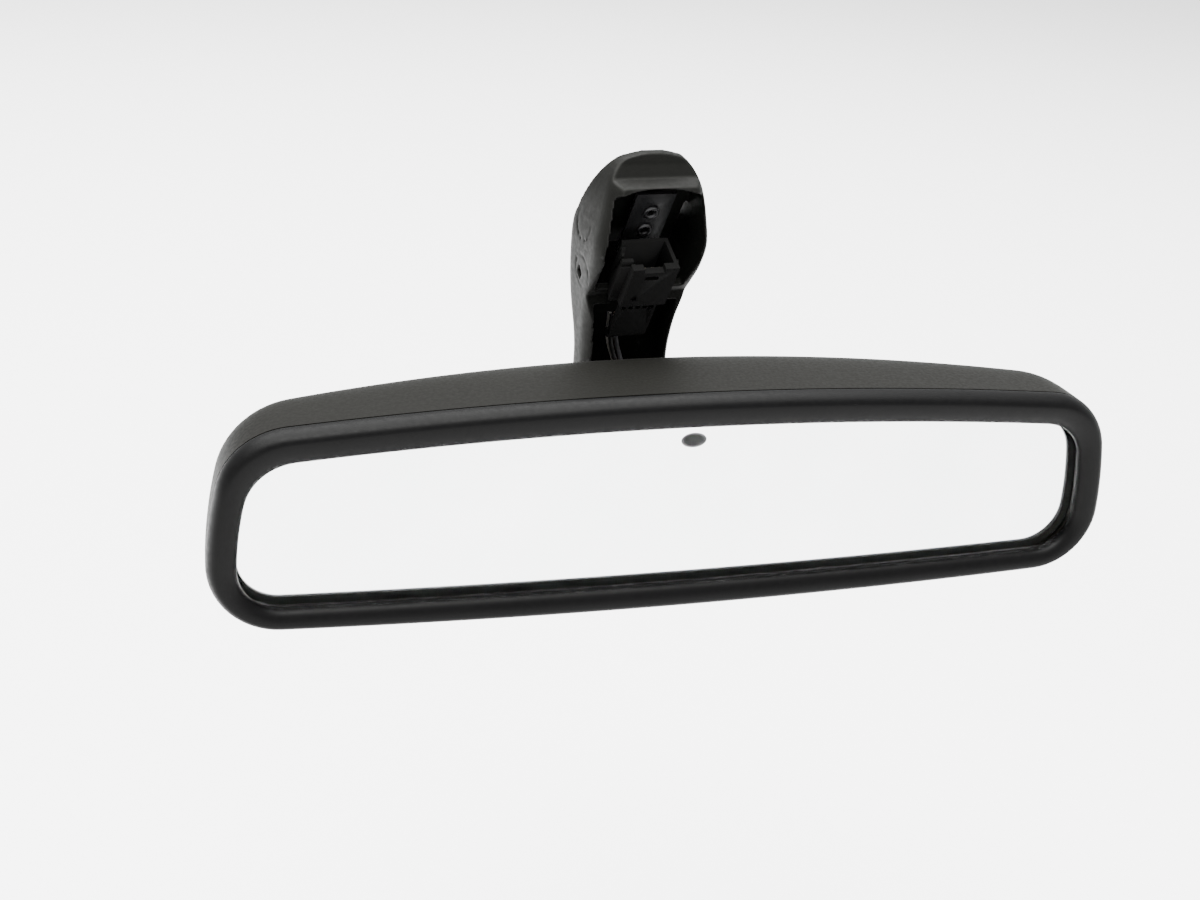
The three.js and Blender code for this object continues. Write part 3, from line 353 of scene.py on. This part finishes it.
def skin(name, rings, looped=False, capped=False):
    """Surface over rings, closed on itself when looped, or with end faces when capped."""
    faces = ring_faces(rings, looped)
    count = len(rings[0])
    if capped:
        last = (len(rings) - 1) * count
        faces.append(tuple(reversed(range(count))))
        faces.append(tuple(last + j for j in range(count)))
    return mesh_object(name, [p for ring in rings for p in ring], faces)


def block(name, size, centre):
    """Box used as a cutter or as a blank before its edges are rounded."""
    hx, hy, hz = (s / 2 for s in size)
    corners = [(-hx, -hy), (hx, -hy), (hx, hy), (-hx, hy)]
    rings = [[Vector(centre) + Vector((x, y, z)) for x, y in corners] for z in (-hz, hz)]
    return skin(name, rings, capped=True)


def lathe_y(name, profile, centre, segments=64):
    """Closed profile of (radius, y) turned about a line along Y through centre."""
    rings = []
    for i in range(segments):
        a = 2 * math.pi * i / segments
        rings.append([Vector(centre) + Vector((r * math.cos(a), y, r * math.sin(a))) for r, y in profile])
    return skin(name, rings, looped=True)


def rod(name, radius, start, end, segments=64):
    """Plain round cutter from start to end."""
    start, end = Vector(start), Vector(end)
    turn = (end - start).to_track_quat("Z", "Y")
    angles = [2 * math.pi * i / segments for i in range(segments)]
    circle = [Vector((radius * math.cos(a), radius * math.sin(a), 0)) for a in angles]
    return skin(name, [[base + turn @ p for p in circle] for base in (start, end)], capped=True)


EDGE_ANGLE = math.radians(35)


def modify(piece, kind, **settings):
    """Applies one modifier."""
    modifier = piece.modifiers.new(kind.lower(), kind)
    for key, value in settings.items():
        setattr(modifier, key, value)
    bpy.context.view_layer.objects.active = piece
    bpy.ops.object.modifier_apply(modifier=modifier.name)


def combine(piece, others, operation):
    """Boolean of piece with the others, which it uses up."""
    for other in others:
        modify(piece, "BOOLEAN", object=other, operation=operation, solver="EXACT")
        bpy.data.objects.remove(other)
    return piece


def cut(piece, *tools):
    return combine(piece, tools, "DIFFERENCE")


def join(piece, *others):
    return combine(piece, others, "UNION")


def round_edges(piece, width, segments=3):
    """Small radius on every edge sharper than EDGE_ANGLE."""
    modify(piece, "BEVEL", width=width, segments=segments, limit_method="ANGLE", angle_limit=EDGE_ANGLE)


def shade(piece, angle=35):
    """Smooth shading with edges sharper than angle kept crisp."""
    for polygon in piece.data.polygons:
        polygon.use_smooth = True
    bpy.context.view_layer.objects.active = piece
    piece.select_set(True)
    bpy.ops.object.shade_smooth_by_angle(angle=math.radians(angle))
    piece.select_set(False)


def install(piece, node, body, material, placement):
    """Puts a finished piece in the row frame in place of its CAD node."""
    piece.data.transform(placement)
    piece.data.materials.clear()
    piece.data.materials.append(material)
    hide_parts(node)
    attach(piece, body)


# ---------- outline of the head: tangent arcs ----------
ARC_STEPS = (40, 14, 24, 14, 40)


def crossing(centre_a, radius_a, centre_b, radius_b, side):
    """Crossing of two circles on the given side of the line between their centres."""
    line = centre_b - centre_a
    length = line.length
    along = (radius_a ** 2 - radius_b ** 2 + length ** 2) / (2 * length)
    off = side * math.sqrt(radius_a ** 2 - along ** 2)
    line = line / length
    return centre_a + line * along + Vector((-line.y, line.x)) * off


def heading(start, end):
    """Angle of the line from start to end."""
    return math.atan2(end.y - start.y, end.x - start.x)


def outline(shape, inset=0.0):
    """Closed symmetric outline of ten tangent arcs, inset evenly."""
    half_width, top, bottom, side_radius, side_rise = shape[:5]
    top_radius, top_corner, bottom_radius, bottom_corner = shape[5:]
    over = Vector((0, top - top_radius))
    under = Vector((0, bottom + bottom_radius))
    side = Vector((half_width - side_radius, side_rise))
    high = crossing(over, top_radius - top_corner, side, side_radius - top_corner, -1)
    low = crossing(under, bottom_radius - bottom_corner, side, side_radius - bottom_corner, 1)
    turns = [math.pi / 2, heading(over, high), heading(side, high)]
    turns += [heading(side, low), heading(under, low), -math.pi / 2]
    arcs = [(over, top_radius), (high, top_corner), (side, side_radius)]
    arcs += [(low, bottom_corner), (under, bottom_radius)]
    half = []
    for k, (centre, radius) in enumerate(arcs):
        for i in range(ARC_STEPS[k]):
            a = turns[k] + (turns[k + 1] - turns[k]) * i / ARC_STEPS[k]
            half.append(centre + Vector((math.cos(a), math.sin(a))) * (radius - inset))
    half.append(Vector((0, bottom + inset)))
    return half + [Vector((-p.x, p.y)) for p in reversed(half[1:-1])]


HEAD_SHAPE = (HEAD_WIDTH / 2, HEAD_HEIGHT / 2, -HEAD_HEIGHT / 2, SIDE_RADIUS, SIDE_RISE,
              TOP_RADIUS, TOP_CORNER, BOTTOM_RADIUS, BOTTOM_CORNER)
OPENING_SHAPE = (HEAD_WIDTH / 2 - RIM_SIDE, HEAD_HEIGHT / 2 - RIM_TOP, RIM_BOTTOM - HEAD_HEIGHT / 2,
                 OPENING_SIDE_RADIUS, OPENING_SIDE_RISE, OPENING_TOP_RADIUS, OPENING_TOP_CORNER,
                 OPENING_BOTTOM_RADIUS, OPENING_BOTTOM_CORNER)


def at_depth(points, y):
    """Flat outline stood up in the head's frame at depth y."""
    return [Vector((p.x, y, p.y)) for p in points]


RIM_STEPS = 14


def rim_profile():
    """(share of the rim's width, y) from the parting line over the ridge down to the lip."""
    profile = [(0, PARTING_Y - PARTING_EDGE)]
    quarter = [math.pi / 2 * i / RIM_STEPS for i in range(1, RIM_STEPS + 1)]
    rise, fall = RIDGE_Y - PARTING_Y, RIDGE_Y - LIP_Y
    profile += [(RIDGE_SHARE * (1 - math.cos(a)), PARTING_Y + rise * math.sin(a)) for a in quarter]
    profile += [(RIDGE_SHARE + (1 - RIDGE_SHARE) * math.sin(a), LIP_Y + fall * math.cos(a)) for a in quarter]
    return profile


def make_bezel():
    outer, opening = outline(HEAD_SHAPE), outline(OPENING_SHAPE)
    pocket = outline(OPENING_SHAPE, -GLASS_OVERLAP - GAP)
    tongue = outline(HEAD_SHAPE, HOUSING_WALL + GAP)
    rings = [at_depth(outline(HEAD_SHAPE, PARTING_EDGE), PARTING_Y)]
    for share, y in rim_profile():
        rings.append(at_depth([a.lerp(b, share) for a, b in zip(outer, opening)], y))
    rings += [at_depth(opening, LIP_BACK_Y), at_depth(pocket, LIP_BACK_Y), at_depth(pocket, TONGUE_END_Y)]
    rings += [at_depth(tongue, TONGUE_END_Y), at_depth(tongue, PARTING_Y)]
    bezel = skin("bezel_detail", rings, looped=True)
    shade(bezel, 50)
    install(bezel, "bezel", "head", BLACK["bezel"], TO_HEAD)


HOUSING_STEPS = 30
HOUSING_FRONT = PARTING_Y + GAP


def housing_depth(x):
    """Depth of the bowed back at x."""
    return DEPTH_END + (DEPTH_MIDDLE - DEPTH_END) * (1 - (x / (HEAD_WIDTH / 2)) ** 2)


def housing_surface(name, inset, front):
    """Bowed box with round edges, narrowing to a line along the middle of its back."""
    base = outline(HEAD_SHAPE, inset)
    rings = [at_depth(base, front)]
    for i in range(HOUSING_STEPS + 1):
        a = math.pi / 2 * i / HOUSING_STEPS
        shrink = max(math.cos(a), 0.0) ** (2 / BOXINESS) if i < HOUSING_STEPS else 0.0
        reach = math.sin(a) ** (2 / BOXINESS)
        x_scale = 1 - (HEAD_HEIGHT / 2 - inset) * (1 - shrink) / (HEAD_WIDTH / 2 - inset)
        ring = []
        for p in base:
            x = p.x * x_scale
            y = HOUSING_FRONT + (housing_depth(x) - inset - HOUSING_FRONT) * reach
            ring.append(Vector((x, y, p.y * shrink)))
        rings.append(ring)
    faces = ring_faces(rings, False)
    faces.append(tuple(range(len(base))))
    return mesh_object(name, [p for ring in rings for p in ring], faces)


def make_housing():
    housing = housing_surface("rear_housing_detail", 0, HOUSING_FRONT)
    hollow = housing_surface("hollow", HOUSING_WALL, HOUSING_FRONT - 1)
    back = DEPTH_MIDDLE + 2
    mouth = rod("mouth", MOUTH_RADIUS, (0, BALL_Y, 0), (0, back, 0), 96)
    lens = rod("lens", LIGHT_RADIUS, (LIGHT_X, BALL_Y, LIGHT_Z), (LIGHT_X, back, LIGHT_Z))
    cut(housing, hollow, mouth, lens)
    shade(housing, 40)
    install(housing, "rear_housing", "head", BLACK["housing"], TO_HEAD)


# ---------- arm ----------
CORNER_STEPS, CORNER_ROOM = 8, 0.5
ARCH_STEPS = 24


def smooth(value):
    """Smoothstep from 0 to 1."""
    t = min(max(value, 0), 1)
    return t * t * (3 - 2 * t)


def between(start, end, z):
    """How far z has come from start to end, eased at both ends."""
    return smooth((z - start) / (end - start))


def arm_ring(z, inset, front_reach):
    """Section of the arm at height z, inset evenly and drawn out to the front by front_reach."""
    share, lean = between(TAPER_START, TAPER_END, z), between(LEAN_START, LEAN_END, z)
    taper = FRONT_TAPER * between(FRONT_TAPER_START, FRONT_TAPER_END, z)
    dome = max(0, 1 - (ARM_TOP - z) / DOME_HEIGHT)
    shrink = DOME_SHARE + (1 - DOME_SHARE) * math.sqrt(max(0, 1 - dome ** 2))
    half_depth = (STALK_DEPTH + (FOOT_DEPTH - STALK_DEPTH) * share) / 2 * shrink
    w = (STALK_WIDTH + (FOOT_WIDTH - STALK_WIDTH) * share) / 2 * shrink - inset
    d = half_depth - inset
    y = STALK_Y + (FOOT_Y - STALK_Y) * lean
    r = min(ARM_CORNER - inset / 2, w - CORNER_ROOM, d - CORNER_ROOM)
    low = r - d - front_reach
    corners = [(w - r, d - r), (r - w, d - r), (r - w, low), (w - r, low)]
    ring = []
    for quarter, (cx, cy) in enumerate(corners):
        for k in range(CORNER_STEPS + 1):
            a = (quarter + k / CORNER_STEPS) * math.pi / 2
            px, py = cx + r * math.cos(a), cy + r * math.sin(a)
            forward = min(max((half_depth - py) / (2 * half_depth), 0), 1)
            ring.append(Vector((px * (1 - taper * forward), y + py, z)))
    return ring


def arm_solid(name, inset, bottom, top, steps, front_reach):
    """Solid over the arm's sections from bottom to top."""
    heights = [bottom + (top - bottom) * i / steps for i in range(steps + 1)]
    return skin(name, [arm_ring(z, inset, front_reach) for z in heights], capped=True)


def across(name, points, half_width):
    """Prism along X over a closed outline of (y, z) points."""
    rings = [[Vector((x, y, z)) for y, z in points] for x in (-half_width, half_width)]
    return skin(name, rings, capped=True)


def seated(piece):
    """Moves a piece drawn on the seat into the arm's frame."""
    piece.data.transform(SEAT_IN_ARM)
    return piece


def channel_room():
    """Room of the open channel, under its arched top."""
    room = arm_solid("room", ARM_WALL, CHANNEL_FLOOR, CHANNEL_TOP, 50, FOOT_DEPTH)
    chord = FOOT_WIDTH - 2 * ARM_WALL
    radius = ((chord / 2) ** 2 + ARCH_HEIGHT ** 2) / (2 * ARCH_HEIGHT)
    straight = CHANNEL_TOP - ARCH_HEIGHT
    points = [(-chord, 0), (chord, 0), (chord, straight)]
    for i in range(ARCH_STEPS + 1):
        a = math.asin(chord / 2 / radius) * (1 - 2 * i / ARCH_STEPS)
        points.append((radius * math.sin(a), CHANNEL_TOP - radius + radius * math.cos(a)))
    points.append((-chord, straight))
    arch = skin("arch", [[Vector((x, y, z)) for x, z in points] for y in (-FAR, FAR)], capped=True)
    return combine(room, [arch], "INTERSECT")


def seat_mount(body):
    """Block behind the plate with the rails that hold the connector, kept within the arm's body."""
    size = (PLATE_WIDTH + 2 * BLOCK_MARGIN, BLOCK_DEPTH, PLATE_LENGTH + BLOCK_MARGIN)
    mount = seated(block("mount", size, (0, -BLOCK_DEPTH / 2, 0)))
    rail_top = SHROUD_W - SHROUD_LENGTH / 2 - GAP
    rail_width = (FOOT_WIDTH - COVER_WIDTH) / 2 - GAP
    rails = []
    for side in (-1, 1):
        x = COVER_X + side * ((COVER_WIDTH + rail_width) / 2 + GAP)
        place = (x, SHROUD_N, rail_top - RAIL_HEIGHT / 2)
        rails.append(seated(block("rail", (rail_width, RAIL_DEPTH, RAIL_HEIGHT), place)))
    join(mount, *rails)
    return combine(mount, [body], "INTERSECT")


def front_cutter():
    """Everything in front of the hood's profile."""
    (low_y, _), (high_y, _) = ARM_FRONT[0], ARM_FRONT[-1]
    top = ARM_TOP + FAR
    return across("front", [(-FAR, -FAR), (low_y, -FAR), *ARM_FRONT, (high_y, top), (-FAR, top)], FOOT_WIDTH)


def seat_cutters():
    """The space behind the seat and the recess of the plate."""
    behind = seated(block("behind", (FAR, FAR, 2 * FAR), (0, FAR / 2, 0)))
    size = (PLATE_WIDTH + 2 * GAP, 2 * PLATE_RECESS, PLATE_LENGTH + 2 * GAP)
    return behind, seated(block("recess", size, (0, 0, 0)))


def neck_cutters():
    """Bore of the ball's neck and the way of the leads down to it."""
    neck = rod("neck", NECK_RADIUS + GAP, (0, BEND_ROOM, 0), (0, STALK_Y, 0))
    bend = rod("bend", BEND_ROOM, (0, STALK_Y, -BEND_ROOM), (0, STALK_Y, CHANNEL_FLOOR + 1))
    return neck, bend


def latch_cutter():
    """Diamond hole through both side walls."""
    y, z, half_depth, half_height = LATCH_Y, LATCH_Z, LATCH_DEPTH / 2, LATCH_HEIGHT / 2
    points = [(y, z - half_height), (y + half_depth, z), (y, z + half_height), (y - half_depth, z)]
    return across("latch", points, FOOT_WIDTH)


def groove_ring(centre):
    """Cutter for a shallow round groove in the left wall."""
    x, y, z = centre
    outside = (x - GROOVE_REACH, y, z)
    outer = rod("groove", BOSS_RING_RADIUS, outside, (x + BOSS_RING_DEPTH, y, z), 72)
    past, inside = (x - GROOVE_REACH - 1, y, z), (x + BOSS_RING_DEPTH + 1.5, y, z)
    inner = rod("core", BOSS_RING_RADIUS - BOSS_RING_WIDTH, past, inside, 72)
    return cut(outer, inner)


def make_arm():
    arm = arm_solid("arm_shell_detail", 0, ARM_BOTTOM, ARM_TOP, 60, 0)
    body = arm.copy()
    body.data = arm.data.copy()
    bpy.context.scene.collection.objects.link(body)
    cut(arm, channel_room())
    join(arm, seat_mount(body))
    cut(arm, front_cutter(), *seat_cutters())
    join(arm, rod("boss", BOSS_RADIUS, (0, BOSS_FRONT, 0), (0, STALK_Y - BEND_ROOM, 0)))
    cut(arm, *neck_cutters(), latch_cutter())
    for centre in BOSS_RING_CENTRES:
        cut(arm, groove_ring(centre))
    modify(arm, "REMESH", mode="VOXEL", voxel_size=ARM_VOXEL)
    modify(arm, "SMOOTH", factor=0.5, iterations=4)
    shade(arm, 180)
    install(arm, "arm_shell", "arm", BLACK["arm"], TO_ARM)


def shroud_plan(side_wall, front_wall):
    """Plan of the shroud with its flared left corner, inset by the walls."""
    right = SHROUD_WIDTH / 2 - side_wall
    back = SHROUD_N + SHROUD_DEPTH / 2 - side_wall
    front = SHROUD_N - SHROUD_DEPTH / 2 + front_wall
    step = front + SHROUD_FLARE
    plan = [(right, back), (-right, back), (-right - SHROUD_FLARE, step)]
    plan += [(-right, step), (-right, front), (right, front)]
    return [(SHROUD_X + x, n) for x, n in plan]


def upright(name, plan, bottom, top):
    """Prism along the seat over a plan of (x, n) points."""
    return skin(name, [[Vector((x, n, w)) for x, n in plan] for w in (bottom, top)], capped=True)


def tooth_gaps(top):
    """Cutters for the sawtooth rim at the left."""
    reach = SHROUD_SIDE + SHROUD_FLARE
    x = SHROUD_X - SHROUD_WIDTH / 2 - reach / 2 + SHROUD_SIDE
    places = [(x, SHROUD_N + SHROUD_DEPTH / 2 - TOOTH_PITCH * (i + 1), top) for i in range(TEETH)]
    return [block("tooth_gap", (reach, TOOTH_GAP, TOOTH_HEIGHT), place) for place in places]


def make_shroud():
    bottom, top = SHROUD_W - SHROUD_LENGTH / 2, SHROUD_W + SHROUD_LENGTH / 2
    front = SHROUD_N - SHROUD_DEPTH / 2
    shroud = upright("shroud_detail", shroud_plan(0, 0), bottom, top)
    hollow = upright("hollow", shroud_plan(SHROUD_SIDE, SHROUD_FRONT), bottom + SHROUD_FLOOR, top + 1)
    key = block("key", (KEY_WIDTH, 3 * SHROUD_FRONT, KEY_HEIGHT), (KEY_X, front, top))
    catch = block("catch", (CATCH_WIDTH, 3 * SHROUD_FRONT, CATCH_HEIGHT), (CATCH_X, front, CATCH_W))
    cut(shroud, hollow, key, catch, *tooth_gaps(top))
    round_edges(shroud, SHROUD_EDGE, 2)
    profile = [(0, 0), (0, 2 * MARK_DEPTH), (MARK_RADIUS, 2 * MARK_DEPTH), (MARK_RADIUS, 0)]
    cut(shroud, lathe_y("mark", profile, (MARK_X, front - MARK_DEPTH, MARK_W), 24))
    shade(shroud)
    install(shroud, "connector_shroud", "arm", BLACK["shroud"], TO_SEAT)


def make_cover():
    top = SHROUD_W - SHROUD_LENGTH / 2 - GAP
    low = top - COVER_LENGTH
    size = (COVER_WIDTH, COVER_THICKNESS, COVER_LENGTH)
    cover = block("cover_detail", size, (COVER_X, COVER_N, top - COVER_LENGTH / 2))
    left, right = COVER_X - COVER_WIDTH / 2, COVER_X + COVER_WIDTH / 2
    roll_n = COVER_N + COVER_LIP / 4
    join(cover, rod("roll", COVER_LIP / 2, (left, roll_n, low), (right, roll_n, low), 40))
    for i in range(COVER_SLOTS):
        x = COVER_X + (i - (COVER_SLOTS - 1) / 2) * COVER_SLOT_PITCH
        slot = (COVER_SLOT_WIDTH, COVER_SLOT_DEPTH, COVER_SLOT_HEIGHT)
        cut(cover, block("slot", slot, (x, COVER_N, top - COVER_SLOT_DROP)))
    round_edges(cover, COVER_EDGE, 2)
    shade(cover)
    install(cover, "wire_cover", "arm", BLACK["cover"], TO_SEAT)


RIVET_PLACES = [-RIVET_PITCH / 2, RIVET_PITCH / 2]
ROLL_STEPS = 12


def make_clamp():
    size = (CLAMP_WIDTH, CLAMP_THICKNESS, CLAMP_LENGTH)
    clamp = block("clamp_detail", size, (CLAMP_X, CLAMP_N, CLAMP_W))
    for w in RIVET_PLACES:
        start, end = (CLAMP_X, CLAMP_N - 3, w), (CLAMP_X, CLAMP_N + 3, w)
        cut(clamp, rod("hole", RIVET_RADIUS + GAP, start, end, 48))
    round_edges(clamp, CLAMP_EDGE, 3)
    shade(clamp)
    install(clamp, "foot_spring_clamp", "arm", BLACK["spring"], TO_SEAT)


def rivet_profile():
    """(radius, y) of a tubular rivet with its end rolled outwards on the clamp."""
    face = CLAMP_N - CLAMP_THICKNESS / 2 - RIVET_GAP
    back = -BLOCK_DEPTH - RIVET_GAP
    middle, roll = (RIVET_BORE + RIVET_FLARE) / 2, (RIVET_FLARE - RIVET_BORE) / 2
    profile = [(RIVET_BORE, back), (RIVET_RADIUS, back)]
    profile += [(RIVET_RADIUS, face), (RIVET_FLARE - RIVET_GAP, face)]
    for k in range(ROLL_STEPS + 1):
        a = math.pi * k / ROLL_STEPS
        profile.append((middle + roll * math.cos(a), face - RIVET_GAP - RIVET_CROWN * math.sin(a)))
    return profile


def make_rivets():
    for i, w in enumerate(RIVET_PLACES, start=1):
        rivet = lathe_y("rivet_detail_%d" % i, rivet_profile(), (CLAMP_X, 0, w), 48)
        shade(rivet, 50)
        install(rivet, "clamp_rivet_%d" % i, "arm", BLACK["rivet"], TO_SEAT)


BEND_STEPS = 4


def lead_stops(i):
    """Route of lead i; the four keep a two by two pattern down the channel and round the bend."""
    side = (1 if i % 2 else -1) * WIRE_SPACING / 2
    row = (1 if i < 2 else -1) * WIRE_SPACING / 2
    stops = [(WIRE_X + side, STALK_Y + row, WIRE_TOP), (WIRE_X + side, STALK_Y + row, WIRE_SWAY),
             (side, STALK_Y + row, WIRE_GATHER), (side, STALK_Y + row, 2 * BEND_RADIUS)]
    radius = BEND_RADIUS + row
    for k in range(BEND_STEPS + 1):
        a = math.pi / 2 * k / BEND_STEPS
        y = STALK_Y - BEND_RADIUS + radius * math.cos(a)
        stops.append((side, y, BEND_RADIUS - radius * math.sin(a)))
    return stops + [(side, STALK_Y / 2, -row), (side, WIRE_END_Y, -row)]


def cord(name, stops):
    """Round cord through the stops, as a mesh."""
    curve = bpy.data.curves.new(name + "_path", "CURVE")
    curve.dimensions = "3D"
    curve.bevel_depth = WIRE_RADIUS
    curve.bevel_resolution = 6
    curve.resolution_u = 8
    curve.use_fill_caps = True
    spline = curve.splines.new("BEZIER")
    spline.bezier_points.add(len(stops) - 1)
    for point, place in zip(spline.bezier_points, stops):
        point.co = place
        point.handle_left_type = point.handle_right_type = "AUTO"
    path = bpy.data.objects.new(name + "_path", curve)
    bpy.context.scene.collection.objects.link(path)
    mesh = bpy.data.meshes.new_from_object(path.evaluated_get(bpy.context.evaluated_depsgraph_get()))
    bpy.data.objects.remove(path)
    piece = bpy.data.objects.new(name + "_detail", mesh)
    bpy.context.scene.collection.objects.link(piece)
    return piece


def make_leads():
    for i, (name, finish) in enumerate(LEAD_FINISH.items()):
        lead = cord(name, lead_stops(i))
        shade(lead, 60)
        install(lead, name, "arm", finish, TO_ARM)


# ---------- camera at the photograph's angle ----------
CAMERA_YAW = math.radians(16.71)
CAMERA_PITCH = math.radians(25.41)
CAMERA_ROLL = math.radians(4.34)
CAMERA_DISTANCE = 358.75 * MM
CAMERA_AIM_RIGHT = 24.17 * MM
CAMERA_AIM_DOWN = 13.73 * MM
CAMERA_LENS = 41.1
SENSOR_WIDTH = 36.0
CLIP_START = 0.01


def make_camera():
    """Looks at a point beside the middle of the mirror head."""
    cos_pitch = math.cos(CAMERA_PITCH)
    flat = Vector((math.sin(CAMERA_YAW), math.cos(CAMERA_YAW), 0.0))
    forward = cos_pitch * flat + Vector((0, 0, -math.sin(CAMERA_PITCH)))
    level = Vector((math.cos(CAMERA_YAW), -math.sin(CAMERA_YAW), 0.0))
    upright_axis = level.cross(forward)
    right = math.cos(CAMERA_ROLL) * level + math.sin(CAMERA_ROLL) * upright_axis
    up = right.cross(forward)
    data = bpy.data.cameras.new("camera")
    data.lens = CAMERA_LENS
    data.sensor_width = SENSOR_WIDTH
    data.clip_start = CLIP_START
    camera = bpy.data.objects.new("camera", data)
    turn = Matrix((right, up, -forward)).transposed().to_4x4()
    place = HEAD - CAMERA_AIM_RIGHT * right + CAMERA_AIM_DOWN * up - CAMERA_DISTANCE * forward
    camera.matrix_world = Matrix.Translation(place) @ turn
    bpy.context.scene.collection.objects.link(camera)
    bpy.context.scene.camera = camera


# ---------- stage ----------
FLOOR_DROP = 0.30
FLOOR_SIZE = 8.0
WORLD_STRENGTH = 1.8
TOP_PLACE, TOP_TARGET, TOP_SIZE, TOP_POWER = (-0.3, 0.4, 2.4), (0, 0.4, 0), (3.4, 3.4), 560
FRONT_PLACE, FRONT_SIZE, FRONT_POWER = (-0.25, -0.7, 1.15), (0.8, 0.4), 26


def make_floor():
    bpy.ops.mesh.primitive_plane_add(size=FLOOR_SIZE, location=(0, 0, CAD_BOUNDS[0][2] - FLOOR_DROP))
    floor = bpy.context.object
    floor.name = "floor"
    floor.data.materials.append(surface("floor_white", (0.93, 0.93, 0.93), 0.85, 3, 0.0, 0.005, specular=0.2))


def area_light(name, place, target, size, power):
    """Softbox at place, aimed at target, both from the middle of the head."""
    data = bpy.data.lights.new(name, "AREA")
    data.shape = "RECTANGLE"
    data.size, data.size_y = size
    data.energy = power
    light = bpy.data.objects.new(name, data)
    light.location = HEAD + Vector(place)
    light.rotation_euler = (Vector(target) - Vector(place)).to_track_quat("-Z", "Y").to_euler()
    bpy.context.scene.collection.objects.link(light)


def make_lights():
    world = bpy.data.worlds.new("studio")
    world.use_nodes = True
    backdrop = world.node_tree.nodes["Background"]
    backdrop.inputs["Color"].default_value = (1, 1, 1, 1)
    backdrop.inputs["Strength"].default_value = WORLD_STRENGTH
    bpy.context.scene.world = world
    area_light("softbox_top", TOP_PLACE, TOP_TARGET, TOP_SIZE, TOP_POWER)
    area_light("softbox_front", FRONT_PLACE, (0, 0, 0), FRONT_SIZE, FRONT_POWER)


paint_cad_nodes()
make_bezel()
make_housing()
make_arm()
make_shroud()
make_cover()
make_clamp()
make_rivets()
make_leads()
make_camera()
make_floor()
make_lights()
